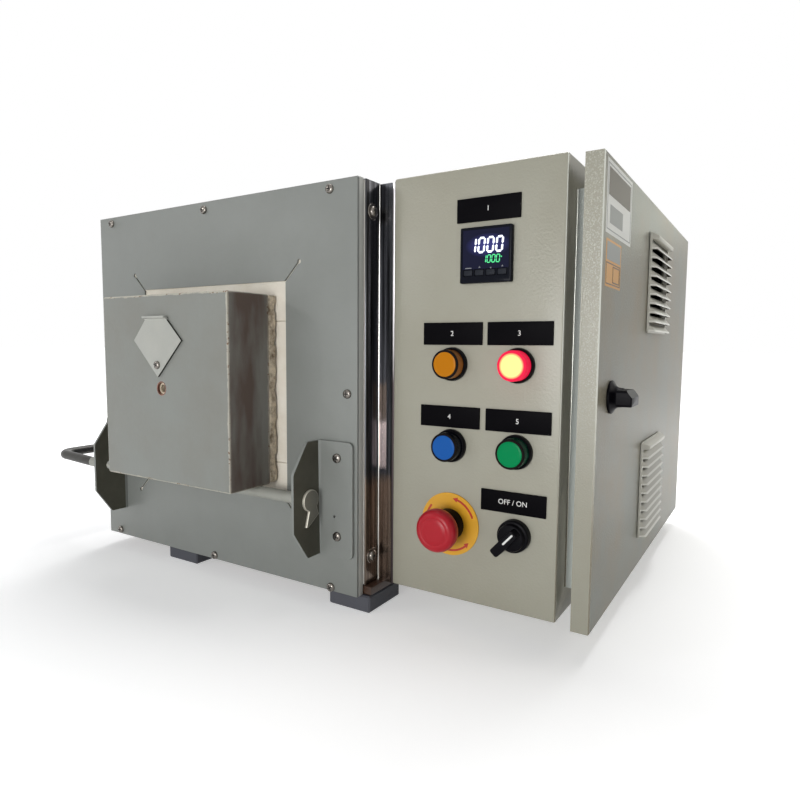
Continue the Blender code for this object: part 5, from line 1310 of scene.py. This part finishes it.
def bent_arrow(start, sweep):
    """A flat arrow that runs round the disc, with its head at the end."""
    bm = bmesh.new()
    middle = bench(STOP_X, 28.66, STOP_Z)
    inner, outer = 24.2, 26.2
    spoke = [
        bm.verts.new(middle + Vector((r * math.cos(start), 0, r * math.sin(start))) / 1000)
        for r in (inner, outer)
    ]
    edge = bm.edges.new(spoke)
    bmesh.ops.spin(
        bm, geom=[*spoke, edge], cent=middle, axis=(0, -1, 0), dvec=(0, 0, 0), angle=sweep, steps=10,
    )
    end = start + sweep
    head = [(22.6, end), (27.8, end), (25.2, end + 0.2)]
    bm.faces.new(
        [bm.verts.new(middle + Vector((r * math.cos(t), 0, r * math.sin(t))) / 1000) for r, t in head]
    )
    bmesh.ops.recalc_face_normals(bm, faces=bm.faces)
    if sum(f.normal.y for f in bm.faces) > 0:
        bmesh.ops.reverse_faces(bm, faces=bm.faces)
    bmesh.ops.solidify(bm, geom=bm.faces[:], thickness=0.00004)
    return bm


arrows = [(bent_arrow(math.radians(20 + 120 * n), math.radians(52)), 1) for n in range(3)]
finish(
    "stop_disc", gather((disc, 0), *arrows), [yellow_plastic, red_ink], "furnace",
    ["estop_disc"],
)

collar = turned(
    stop, "Y",
    [
        (17.4, 8.2), (17.4, 13.2), (18.0, 14.2), (19.0, 14.6), (24.5, 15.0), (28.4, 15.0), (28.4, 10.8),
        (79.7, 10.8), (79.7, 8.2), (17.4, 8.2),
    ],
    56,
)
finish("stop_body", collar, black_plastic, "furnace", ["estop_body"])
plunger = turned(stop, "Y", [(69.7, 0), (69.7, 7.8), (11.5, 7.8), (11.5, 0)], 40)
finish("stop_shaft", plunger, black_plastic, "stop_plunger", ["estop_plunger"])
CAP_PROFILE = [
    (11.2, 0), (11.2, 15.0), (10.6, 17.6), (8.4, 19.4), (5.4, 20.0), (2.2, 19.9), (-0.6, 19.2),
    (-2.6, 17.8),
    (-3.6, 16.2), (-4.0, 14.6), (-4.05, 13.6), (-3.75, 13.0), (-3.75, 12.5), (-4.15, 11.9), (-4.3, 8.0),
    (-4.3, 0),
]
finish("stop_cap", turned(stop, "Y", CAP_PROFILE, 64), red_plastic, "stop_head", ["estop_head"])

# %% [markdown]
# ## Selector switch
#
# The knob is a disc with a bar handle across it. The handle points at the position and carries a white
# line. It is drawn out along the dial, then turned to where it stood in the photograph.

# %% Selector
SWITCH_X, SWITCH_Z = COLUMNS[1], 99.7
switch = (SWITCH_X, 0, SWITCH_Z)
ring_profile = [
    (21.7, 0), (21.7, 13.2), (22.1, 14.1), (23.0, 14.6), (24.5, 14.8), (29.7, 14.8), (29.7, 10.8),
    (71.7, 10.8), (71.7, 0),
]
finish(
    "selector_ring", turned(switch, "Y", ring_profile, 56), black_plastic, "furnace",
    ["selector_body"],
)


def spun_about(bm, centre, degrees):
    """Turns a mesh about the Y axis through a bench place."""
    turn = Matrix.Rotation(math.radians(degrees), 3, "Y")
    bmesh.ops.rotate(bm, verts=bm.verts, cent=bench(*centre), matrix=turn)
    return bm


knob = turned(
    switch, "Y", [(21.4, 0), (21.4, 12.3), (18.6, 12.3), (17.2, 11.6), (16.6, 10.4), (16.6, 0)], 56,
)
handle = slab(
    (SWITCH_X - 18.6, 7.9, SWITCH_Z - 4.3), (SWITCH_X + 11.3, 20.0, SWITCH_Z + 4.3), "Y", radius=2.2,
    edge=1.0, ends=(True, False),
)
far_end = [v for v in handle.verts if v.co.x > bench(SWITCH_X + 8, 0, 0).x and v.co.y < bench(0, 12, 0).y]
bmesh.ops.translate(handle, verts=far_end, vec=(-0.0015, 0.0012, 0))
mark = slab(
    (SWITCH_X - 4.5, 7.78, SWITCH_Z - 0.85), (SWITCH_X + 8.6, 8.4, SWITCH_Z + 0.85), "Y", radius=0.8,
)
for part in (handle, mark):
    spun_about(part, switch, -48)
finish(
    "selector_grip", gather(knob, handle, (mark, 1)), [black_plastic, ink], "selector",
    ["selector_knob"],
)

# %% [markdown]
# ## The temperature controller
#
# A square instrument sits in the panel. Its black frame stands five millimetres proud round a glossy
# window, where two rows of seven-segment digits glow. Each segment is a short bar with pointed ends, and
# a digit is the list of the segments that are lit.

# %% Controller
EYE_LOW, EYE_HIGH = extent("controller")
CASE_X, EYE_Z = (EYE_LOW.x + EYE_HIGH.x) / 2, (EYE_LOW.z + EYE_HIGH.z) / 2
# The bezel sits a millimetre to the right of the case behind it.
EYE_X = CASE_X + 1.0
EYE_HALF = 24.5
KEYS_X = [EYE_X + step for step in (-16.2, -5.4, 5.4, 16.2)]
KEY_Z = EYE_Z - 15.5
frame_block = slab(
    (EYE_X - EYE_HALF, 24.7, EYE_Z - EYE_HALF), (EYE_X + EYE_HALF, 29.7, EYE_Z + EYE_HALF),
    "Y", radius=1.4, edge=0.8, ends=(True, False), edge_steps=3,
)
frame_block = carve(
    frame_block,
    slab((EYE_X - 22.2, 24.0, EYE_Z - 12.4), (EYE_X + 22.2, 25.5, EYE_Z + 22.2), "Y", radius=0.8),
)
for key_x in KEYS_X:
    pocket = slab((key_x - 4.6, 24.0, KEY_Z - 2.95), (key_x + 4.6, 27.2, KEY_Z + 2.95), "Y", radius=0.6)
    frame_block = carve(frame_block, pocket)
case = slab((CASE_X - 22.2, 29.0, EYE_Z - 22.2), (CASE_X + 22.2, 99.7, EYE_Z + 22.2), "Y", radius=1.0)
window = slab((EYE_X - 22.1, 25.1, EYE_Z - 12.3), (EYE_X + 22.1, 25.9, EYE_Z + 22.1), "Y")
print("controller frame", len(frame_block.faces), "faces")

SEGMENTS = {
    "a": (0, 1, True), "b": (0.5, 0.5, False), "c": (0.5, -0.5, False), "d": (0, -1, True),
    "e": (-0.5, -0.5, False), "f": (-0.5, 0.5, False),
}
LIT = {"0": "abcdef", "1": "bc"}


def digits(text, right, low, height, width, pitch, thick, face_y):
    """Seven-segment digits, leaning slightly, ending at a bench X."""
    whole = bmesh.new()
    for n, character in enumerate(reversed(text)):
        for letter in LIT[character]:
            across, up, level = SEGMENTS[letter]
            long = (width if level else height / 2) - thick * 0.45
            mid_x = right - width / 2 - pitch * n + across * width
            mid_z = low + height / 2 + up * height / 2
            half_x, half_z = (long / 2, thick / 2) if level else (thick / 2, long / 2)
            bar = slab(
                (mid_x - half_x, face_y - 0.08, mid_z - half_z), (mid_x + half_x, face_y, mid_z + half_z),
                "Y", radius=thick * 0.42, radius_steps=1,
            )
            for vert in bar.verts:
                vert.co.x += (vert.co.z - bench(0, 0, low).z) * 0.09
            mesh = bpy.data.meshes.new("segment")
            bar.to_mesh(mesh)
            bar.free()
            whole.from_mesh(mesh)
            bpy.data.meshes.remove(mesh)
    return whole


def glowing(name, colour, strength):
    """A lit display segment."""
    material, shader = surface(name, colour, 0.5)
    shader.inputs["Emission Color"].default_value = srgb(colour)
    shader.inputs["Emission Strength"].default_value = strength
    return material


white_glow = glowing("white_display_segment", "#eef2ff", 1.0)
green_glow = glowing("green_display_segment", "#45cf80", 0.8)

# Light leaks sideways in the glass, so it is violet round the white figures.
violet_glass, glass_shader = surface("glass_over_display", "#12141b", 0.1, Specular_IOR_Level=0.08)
away = add(
    violet_glass, "VectorMath", {0: pattern(violet_glass), 1: bench(EYE_X + 2, 25, EYE_Z + 8)},
    operation="SUBTRACT",
)
scaled = add(violet_glass, "VectorMath", {0: away.outputs[0], 1: (62, 0, 128)}, operation="MULTIPLY")
reach = add(violet_glass, "VectorMath", {0: scaled.outputs[0]}, operation="LENGTH")
leak = ranged(violet_glass, reach.outputs["Value"], 0.35, 1.35, 0.2, 0.022)
feed(violet_glass, leak.outputs[0], glass_shader, "Emission Strength")
glass_shader.inputs["Emission Color"].default_value = srgb("#7c80ff")
upper = digits("1000", EYE_X + 15.4, EYE_Z + 2.2, 12.3, 5.4, 8.5, 1.8, 25.1)
lower = digits("1000", EYE_X + 13.2, EYE_Z - 7.1, 6.4, 2.9, 4.3, 0.8, 25.1)
unit = slab((EYE_X + 14.6, 25.02, EYE_Z - 3.2), (EYE_X + 15.6, 25.1, EYE_Z - 2.2), "Y")
faint_ink, _ = surface("grey_printed_mark", "#8a8c90", 0.6)
# Small pointers over the keys say which way each one steps.
pointers = [
    plate(
        [(x - 0.9, 25.1, EYE_Z - 11.3), (x + 0.9, 25.1, EYE_Z - 11.3), (x, 25.1, EYE_Z - 11.3 + rise)],
        (0, -1, 0), 0.05,
    )
    for x, rise in ((KEYS_X[1], 1.5), (KEYS_X[2], -1.5), (KEYS_X[3], 1.5))
]
pointers.append(slab((KEYS_X[0] - 3.0, 25.02, EYE_Z - 11.6), (KEYS_X[0] + 3.0, 25.1, EYE_Z - 10.9), "Y"))
finish(
    "controller_instrument",
    gather(
        (frame_block, 0), (case, 0), (window, 1), (upper, 2), (lower, 3), (unit, 3),
        *[(p, 4) for p in pointers],
    ),
    [glossy_black, violet_glass, white_glow, green_glow, faint_ink], "furnace",
    ["controller"],
)
for number, key_x in enumerate(KEYS_X, 1):
    cap = slab(
        (key_x - 4.1, 24.3, KEY_Z - 2.5), (key_x + 4.1, 25.9, KEY_Z + 2.5), "Y", radius=0.9, edge=0.4,
        ends=(True, False),
    )
    finish(f"key_cap_{number}", cap, key_plastic, f"key_{number}", [f"controller_key_{number}"])

# %% [markdown]
# ## The latch
#
# A black moulded wing knob closes the enclosure. Its round foot flares down to a neck, and the wing is
# thick in the middle and chamfered to its tips for thumb and finger.

# %% Latch knob
LATCH_Y, LATCH_Z = 74.0, 224.0
latch = (0, LATCH_Y, LATCH_Z)
foot = turned(
    latch, "X",
    [
        (628, 0), (628, 14.5), (629.0, 14.7), (629.9, 14.4), (630.8, 13.0), (632.4, 10.4), (634.5, 8.9),
        (638.9, 8.4), (638.9, 0),
    ],
    56,
)
stem = turned(latch, "X", [(593.2, 0), (593.2, 9), (628.2, 9), (628.2, 0)], 40)
wing = slab(
    (636.0, LATCH_Y - 15, LATCH_Z - 7.2), (651.2, LATCH_Y + 15, LATCH_Z + 7.2), "X", radius=2.5, edge=1.4,
    ends=(False, True),
)
# The wing's upper outer corner is cut away for the thumb, and its tips are lower than its middle.
bmesh.ops.bisect_plane(
    wing, geom=wing.verts[:] + wing.edges[:] + wing.faces[:], plane_co=bench(646.4, 0, LATCH_Z + 7.2),
    plane_no=(1, 0, 0.75), clear_outer=True,
)
bmesh.ops.holes_fill(wing, edges=[e for e in wing.edges if e.is_boundary])
tips = [
    v
    for v in wing.verts if abs(v.co.y - bench(0, LATCH_Y, 0).y) > 0.012 and v.co.x > bench(645, 0, 0).x
]
bmesh.ops.translate(wing, verts=tips, vec=(-0.0022, 0, 0))
finish("latch_wing", gather(foot, stem, wing), black_plastic, "latch", ["latch_knob"])

# %% [markdown]
# ## Louvred vents
#
# Each vent is one pressing: a low tray, a cap along its top, and a stack of hoods that open downward, so
# air passes and water doesn't. A hood starts as a block. Its top front edge is pushed back to the tray,
# its ends are sloped, the back and the underside are taken away, and what remains gets a thickness.

# %% Vents
HOODS = 10
TRAY_X, RIM_MM, HIP_MM, LIP_MM = 630.2, 5.0, 6.5, 1.7
vent_steel = paint("light_powder_coat_on_pressing", "#b9b7ab", "#adaa9c", 0.4, 4.0, 0.08, clouds=0.3)
# The lips are painted light as a highlight, and the hoods' insides dark as shade.
lip_steel = paint("lip_of_pressing_painted_light", "#e0dfd6", "#cfcdc2", 0.35, 4.0, 0.05, clouds=0.3)
hood_inside = paint("inside_of_pressing_painted_dark_as_shade", "#54493d", "#3b3129", 0.8, 4.0, 0.1)


def hipped(low, high, drop_to):
    """A block whose front ends slope in and whose top front edge is moved to a place (X, Z)."""
    bm = slab(low, high)
    front, top = bench(high[0], 0, 0).x, bench(0, 0, high[2]).z
    middle = bench(0, (low[1] + high[1]) / 2, 0).y
    for vert in bm.verts:
        if abs(vert.co.x - front) < 1e-6:
            vert.co.y += HIP_MM / 1000 if vert.co.y < middle else -HIP_MM / 1000
            if abs(vert.co.z - top) < 1e-6:
                vert.co.x, vert.co.z = bench(drop_to[0], 0, 0).x, drop_to[1] / 1000
    return bm


def hood(low, high):
    """One louvre hood, open at its back and below."""
    bm = hipped(low, high, (low[0] + 1.3, high[2] - 0.2))
    near, floor_z = bench(low[0], 0, 0).x, low[2] / 1000
    open_faces = [
        f for f in bm.faces
        if all(abs(v.co.x - near) < 1e-6 for v in f.verts) or all(
            abs(v.co.z - floor_z) < 1e-6
            for v in f.verts
        )
    ]
    bmesh.ops.delete(bm, geom=open_faces, context="FACES")
    soften(bm, [e for e in bm.edges if len(e.link_faces) == 2], 1.3, 3)
    bmesh.ops.recalc_face_normals(bm, faces=bm.faces)
    if sum(f.normal.x * f.calc_area() for f in bm.faces) < 0:
        bmesh.ops.reverse_faces(bm, faces=bm.faces)
    bmesh.ops.bisect_plane(
        bm, geom=bm.verts[:] + bm.edges[:] + bm.faces[:], plane_co=(0, 0, floor_z + LIP_MM / 1000),
        plane_no=(0, 0, 1),
    )
    bmesh.ops.solidify(bm, geom=bm.faces[:], thickness=0.0009)
    bm.normal_update()
    # Lips take the painted highlight, and inward faces take the painted shade.
    for face in bm.faces:
        inward = face.normal.x < -0.2 or face.normal.z < -0.5
        on_lip = face.calc_center_median().z < floor_z + LIP_MM / 1000
        face.material_index = 1 if on_lip and not face.normal.x < -0.2 else 2 * int(inward)
    return bm


def vent(name, shift_mm=0.0):
    """The tray, its cap and its hoods, slid along the door by some millimetres."""
    low, high = (place + Vector((0, shift_mm, 0)) for place in extent(name))
    tray = slab(
        (low.x + 0.3, low.y, low.z), (TRAY_X, high.y, high.z), "X", radius=2.5, edge=0.9,
        ends=(False, True),
    )
    opening = slab(
        (low.x - 1, low.y + RIM_MM, low.z + RIM_MM), (TRAY_X + 2, high.y - RIM_MM, high.z - RIM_MM), "X",
        radius=2,
    )
    tray = carve(tray, opening)
    pitch = (high.z - low.z) / (HOODS + 1)
    cap = hipped(
        (TRAY_X - 1.2, low.y + 0.4, high.z - pitch * 0.8), (high.x, high.y - 0.4, high.z - 0.2),
        (high.x, high.z - 3.6),
    )
    soften_sharp(cap, 0.8, 2)
    hoods = [
        hood(
            (TRAY_X - 1.2, low.y + 0.9, low.z + 1.4 + pitch * n),
            (high.x, high.y - 0.9, low.z + 1.4 + pitch * (n + 0.78)),
        )
        for n in range(HOODS)
    ]
    return finish(
        name + "_pressing", gather(tray, cap, *[(one, None) for one in hoods]),
        [vent_steel, lip_steel, hood_inside],
        "enclosure_hatch", [name],
    )


vent("vent_upper", 3.0)
vent("vent_lower")

# %% [markdown]
# ## Stickers
#
# Two vinyl stickers are on the side of the enclosure's door. They carry no words: a white one with a thin
# grey frame, a dark header and a grey field, and an amber one with a grey field over two dark outlines.
# Each layer of print is a tenth of a millimetre thick.

# %% Blank stickers
white_vinyl = moulded("white_vinyl_sticker", "#d8d8d4", 0.45)
grey_vinyl, _ = surface("grey_printed_field", "#8d8f8c", 0.5)
amber_vinyl = moulded("amber_vinyl_sticker", "#c98f34", 0.45)
dark_vinyl, _ = surface("dark_printed_line", "#4b4436", 0.5)
STICKER_X = extent("enclosure_door")[1].x


def patch(y0, z0, y1, z1, layer=0):
    """A thin flat piece on the door's side, in its layer of print."""
    start = STICKER_X - 0.02 + 0.10 * layer
    return slab(
        (start, y0, z0), (start + 0.12, y1, z1), "X", radius=0.8 if layer == 0 else 0, radius_steps=3,
    )


def outline(y0, z0, y1, z1, line, layer=1):
    """Four thin strips that frame a field."""
    return [
        patch(y0, z0, y1, z0 + line, layer), patch(y0, z1 - line, y1, z1, layer),
        patch(y0, z0 + line, y0 + line, z1 - line, layer),
        patch(y1 - line, z0 + line, y1, z1 - line, layer),
    ]


white_parts = [
    (patch(37, 361, 131, 420), 0), (patch(44, 392, 124, 414, 1), 2), (patch(50, 370, 96, 385, 1), 1),
]
white_parts += [(strip, 1) for strip in outline(40, 364, 128, 417, 0.9)]
finish(
    "sticker_white", gather(*white_parts), [white_vinyl, grey_vinyl, dark_vinyl], "enclosure_hatch",
)
amber_parts = [(patch(41, 318, 95, 357), 0), (patch(44, 340, 92, 355, 1), 1)]
amber_parts += [(strip, 2) for strip in outline(43, 320, 93, 338, 0.9) + outline(66, 322, 90, 336, 0.9, 2)]
finish(
    "sticker_amber", gather(*amber_parts), [amber_vinyl, grey_vinyl, dark_vinyl], "enclosure_hatch",
)

# %% [markdown]
# ## Hinges
#
# Each lift-off hinge has a barrel with a pin, and a leaf that is screwed to the enclosure's rear wall. The
# leaf's outline is drawn out along the barrel, and its free corners are rounded.

# %% Hinges
BARREL_R, PIN_R, LEAF_REACH, LEAF_THICK, BARREL_MM = 5.0, 2.5, 34.0, 2.0, 22.0


def hinge(end):
    low, high = extent("hinge_" + end)
    axis_x, axis_y = low.x + LEAF_REACH, high.y - BARREL_R * math.cos(math.radians(15))
    top = low.z + BARREL_MM
    barrel = turned(
        (axis_x, axis_y, 0), "Z",
        [
            (low.z, 0), (low.z, 4.4), (low.z + 0.6, BARREL_R), (top - 0.6, BARREL_R), (top, 4.4),
            (top, PIN_R), (high.z - 0.8, PIN_R), (high.z, PIN_R - 0.8), (high.z, 0),
        ],
        32,
    )
    outline_xy = [
        (low.x, low.y), (axis_x - BARREL_R, low.y), (axis_x, axis_y - BARREL_R / 2),
        (axis_x - BARREL_R / 2, axis_y),
        (axis_x - BARREL_R - LEAF_THICK, low.y + LEAF_THICK), (low.x, low.y + LEAF_THICK),
    ]
    leaf = plate([(x, y, low.z) for x, y in outline_xy], (0, 0, 1), BARREL_MM)
    corners = [
        e
        for e in leaf.edges if runs_along(e, AXES["Y"]) and abs(
            e.verts[0].co.x - bench(low.x, 0, 0).x
        ) < 1e-6
    ]
    soften(leaf, corners, 3.5, 5)
    finish(
        "hinge_leaf_" + end, gather(barrel, leaf), pebble_coat, "furnace",
        ["hinge_" + end],
    )
    places = [
        (low.x + x, low.y + LEAF_THICK, low.z + z)
        for x, z in ((6.5, 5.5), (6.5, 16.5), (19.0, 11.0))
    ]
    screws("hinge_screws_" + end, places, BACK, "furnace", radius=2.8, height=1.8)


hinge("upper")
hinge("lower")

# %% [markdown]
# ## Thermocouple
#
# A ceramic sheath reaches through the rear brick into the chamber. Behind the furnace it ends in a cast
# head with a screwed lid, held by a hexagonal nipple, with a boss for its lead.

# %% Thermocouple
cast_alloy = metal("cast_aluminium_head", "#9da0a1", "#7d7f80", 0.42, grain_mm=1.6, depth_mm=0.12)
ceramic = mineral("recrystallised_alumina_sheath", "#e5dfd0", "#cbbfa9", 1.5, 0.05, roughness=0.6)
PROBE_LOW, PROBE_HIGH = extent("thermocouple")
PROBE_X, PROBE_Z, HEAD_R = (PROBE_LOW.x + PROBE_HIGH.x) / 2, (PROBE_LOW.z + PROBE_HIGH.z) / 2, 17.6
probe = (PROBE_X, 0, PROBE_Z)
TIP_Y, LID_Y = PROBE_LOW.y, PROBE_HIGH.y
sheath = turned(
    probe, "Y",
    [
        (TIP_Y, 0), (TIP_Y + 0.2, 1.6), (TIP_Y + 1.0, 3.0), (TIP_Y + 2.4, 3.8), (TIP_Y + 4, 4.0),
        (508.5, 4.0), (508.5, 0),
    ],
    32,
)
nipple = turned(
    probe, "Y", [(507.7, 0), (507.7, 12.2), (508.5, 13.0), (513.5, 13.0), (514.3, 12.2), (514.3, 0)], 6,
)
head = turned(
    probe, "Y",
    [(514.0, 0), (514.0, 12.5), (515.4, 15.2), (518.0, 16.6), (532.6, 16.6), (533.0, 16.2), (533.8, 16.2),
     (534.2, 17.2),
     (534.8, HEAD_R), (540.8, HEAD_R), (LID_Y - 1.2, 16.8), (LID_Y - 0.2, 14.6), (LID_Y, 12.6),
     (LID_Y - 0.5, 11.8), (LID_Y - 0.5, 0)],
    56,
)
boss = turned(
    (PROBE_X, 524.0, PROBE_Z), "Z",
    [
        (-12, 0), (-12, 6.4), (-21.0, 6.4), (-21.0, 7.6), (-25.6, 7.6), (-26.2, 7.0), (-26.2, 4.0),
        (-23, 3.6), (-23, 0),
    ],
    32,
)
finish(
    "thermocouple_head", gather((sheath, 1), (nipple, 0), (head, 0), (boss, 0)), [cast_alloy, ceramic],
    "furnace", ["thermocouple"],
)
lid_screws = [
    (PROBE_X + 9.0 * math.cos(a), LID_Y - 0.5, PROBE_Z + 9.0 * math.sin(a))
    for a in (0.5, 2.6, 4.7)
]
screws("thermocouple_lid_screws", lid_screws, BACK, "furnace", radius=2.0, height=1.2)

# %% [markdown]
# ## Terminal guard and cable gland
#
# A folded cover keeps fingers off the element tails behind the furnace. Its slots are cut through with a
# Boolean. The gland is a hexagonal nut and a domed cap with flats for the fingers, and it is empty.

# %% Terminal guard
GUARD_LOW, GUARD_HIGH = extent("terminal_guard")
guard = merged("terminal_guard")
soften(guard, outer_corners(guard, 20), 1.2, 3)
for n in range(9):
    slot_z = GUARD_LOW.z + 18 + 8 * n
    guard = carve(
        guard,
        slab(
            (GUARD_LOW.x + 35, GUARD_HIGH.y - 4, slot_z - 1.5),
            (GUARD_HIGH.x - 35, GUARD_HIGH.y + 2, slot_z + 1.5), "Y", radius=1.4, radius_steps=3,
        ),
    )
finish("terminal_guard_cover", guard, grey_enamel, "furnace", ["terminal_guard"])
guard_screws = [
    (x, GUARD_HIGH.y, z)
    for x in (GUARD_LOW.x + 12, GUARD_HIGH.x - 12) for z in (GUARD_LOW.z + 12, GUARD_HIGH.z - 12)
]
screws("terminal_guard_screws", guard_screws, BACK, "furnace", radius=3.4)

# %% Cable gland
GLAND_LOW, GLAND_HIGH = extent("cable_gland")
GLAND_X, GLAND_Z = (GLAND_LOW.x + GLAND_HIGH.x) / 2, (GLAND_LOW.z + GLAND_HIGH.z) / 2
gland = (GLAND_X, 0, GLAND_Z)
SEAT_Y, NUT_Y = 525.3, 534.9
hexagon = turned(
    gland, "Y",
    [
        (SEAT_Y, 6), (SEAT_Y, 13.2), (SEAT_Y + 0.9, 14.4), (NUT_Y - 0.9, 14.4), (NUT_Y, 13.2), (NUT_Y, 6),
        (SEAT_Y, 6),
    ],
    6,
)
cap_nut = turned(
    gland, "Y",
    [
        (NUT_Y, 6), (NUT_Y, 11.9), (544.5, 11.9), (547.6, 10.9), (549.0, 9.2), (549.3, 7.4), (548.6, 6.4),
        (546, 6.0), (NUT_Y, 6),
    ],
    18,
)
thread = turned(
    gland, "Y",
    [
        (GLAND_LOW.y, 6), (GLAND_LOW.y, 9.6), (GLAND_LOW.y + 0.5, 10), (SEAT_Y, 10), (SEAT_Y, 6),
        (GLAND_LOW.y, 6),
    ],
    40,
)
seal = turned(gland, "Y", [(541, 0), (541, 6.2), (545, 6.2), (545, 3.2), (543.5, 2.6), (543.5, 0)], 32)
finish(
    "cable_gland_body", gather((hexagon, 0), (cap_nut, 0), (thread, 0), (seal, 1)), [black_plastic, foam],
    "furnace", ["cable_gland"], sharp=15,
)

# %% [markdown]
# ## Heating coils
#
# Resistance wire is wound into a close spring and laid in the side bricks in a serpentine. The path is
# worked out first. A circle then runs along it, four millimetres a turn, and the wire follows.

# %% Heating coils
RUNS, TURN_MM, COIL_R, WIRE_R, POINTS_PER_TURN = 4, 4.0, 2.15, 0.8, 8


def serpentine(front, back, low, high, step):
    """(Y, Z) places along parallel runs that are joined by half circles."""
    pitch = (high - low) / (RUNS - 1)
    bend = pitch / 2
    track = []
    for run in range(RUNS):
        z = low + run * pitch
        ends = (back if run == 0 else back - bend, front + bend)
        ends = ends if run % 2 == 0 else (front + bend, back if run == RUNS - 1 else back - bend)
        count = round(abs(ends[1] - ends[0]) / step)
        track += [(ends[0] + (ends[1] - ends[0]) * i / count, z) for i in range(count + 1)]
        if run < RUNS - 1:
            centre_y, side = (front + bend, -1) if run % 2 == 0 else (back - bend, 1)
            count = round(math.pi * bend / step)
            angles = [-math.pi / 2 + math.pi * i / count for i in range(1, count)]
            track += [(centre_y + side * bend * math.cos(a), z + bend + bend * math.sin(a)) for a in angles]
    return track


def heating_coil(side):
    low, high = extent("element_" + side)
    x = (low.x + high.x) / 2
    track = serpentine(low.y + 3, high.y - 3, low.z + 3, high.z - 3, TURN_MM / POINTS_PER_TURN)
    route = []
    for n in range(1, len(track) - 1):
        along = Vector((track[n + 1][0] - track[n - 1][0], track[n + 1][1] - track[n - 1][1])).normalized()
        angle = math.tau * n / POINTS_PER_TURN
        out, up = COIL_R * math.sin(angle), COIL_R * math.cos(angle)
        route.append((x + out, track[n][0] - along.y * up, track[n][1] + along.x * up))
    finish(
        "heating_coil_" + side, bar_along(route, WIRE_R, resolution=0), scaled_wire, "furnace",
        ["element_" + side], sharp=80,
    )


heating_coil("left")
heating_coil("right")

# %% [markdown]
# ## Inside the enclosure
#
# With its door open the enclosure shows a zinc plate that carries a contactor and a solid state relay on a
# finned heat sink. Their terminals are screws in rows, and neither has any wires here.

# %% Contactor
CONTACTOR_LOW, CONTACTOR_HIGH = extent("contactor")
low, high = CONTACTOR_LOW, CONTACTOR_HIGH
SHOULDER_X, STEP_Z = low.x + 50, 14.0
base = slab(
    (low.x, low.y, low.z), (SHOULDER_X, high.y, high.z), "X", radius=1.2, edge=1.0, ends=(False, True),
)
front = slab(
    (SHOULDER_X - 1, low.y + 0.6, low.z + STEP_Z), (high.x, high.y - 0.6, high.z - STEP_Z), "X", radius=1.5,
    edge=1.2, ends=(False, True),
)
nameplate = slab(
    (high.x - 0.3, low.y + 8, low.z + 30), (high.x + 0.02, high.y - 8, high.z - 30), "X", radius=0.8,
)
finish(
    "contactor_case", gather((base, 0), (front, 0), (nameplate, 1)), [black_plastic, relay_plastic],
    "furnace", ["contactor"],
)
rows = [(SHOULDER_X, low.y + 7.5 + 15 * n, z) for z in (low.z + 7, high.z - 7) for n in range(3)]
screws("contactor_terminals", rows, RIGHT, "furnace", radius=3.2, height=1.6)

# %% Solid state relay
low, high = extent("solid_state_relay")
FIN_TIP_X, SINK_BASE, FINS, FIN_MM = low.x + 50, 8.0, 8, 3.0
sink = [
    slab(
        (FIN_TIP_X - SINK_BASE, low.y, low.z), (FIN_TIP_X, high.y, high.z), "Z", radius=0.6, radius_steps=2,
    )
]
for n in range(FINS):
    y = low.y + n * (high.y - low.y - FIN_MM) / (FINS - 1)
    sink.append(
        slab(
            (low.x, y, low.z), (FIN_TIP_X - SINK_BASE + 0.5, y + FIN_MM, high.z), "Z", radius=0.7,
            radius_steps=2,
        )
    )
mid_y, mid_z = (low.y + high.y) / 2, (low.z + high.z) / 2
module = slab(
    (FIN_TIP_X - 0.2, mid_y - 22.5, mid_z - 29), (high.x, mid_y + 22.5, mid_z + 29), "X", radius=2.0,
    edge=1.2, ends=(False, True),
)
finish(
    "relay_on_heat_sink", gather(*sink, (module, 1)), [cast_alloy, black_plastic], "furnace",
    ["solid_state_relay"],
)
corners = [(high.x, mid_y + side * 13, mid_z + rise) for side in (-1, 1) for rise in (-21, 21)]
screws("relay_terminals", corners, RIGHT, "furnace", radius=3.4, height=1.6)
PLATE_LOW, PLATE_HIGH = extent("mounting_plate")
fixings = [
    (PLATE_HIGH.x, y, z)
    for y in (PLATE_LOW.y + 14, PLATE_HIGH.y - 14) for z in (PLATE_LOW.z + 14, PLATE_HIGH.z - 14)
]
screws("mounting_plate_screws", fixings, RIGHT, "furnace", radius=4.0)
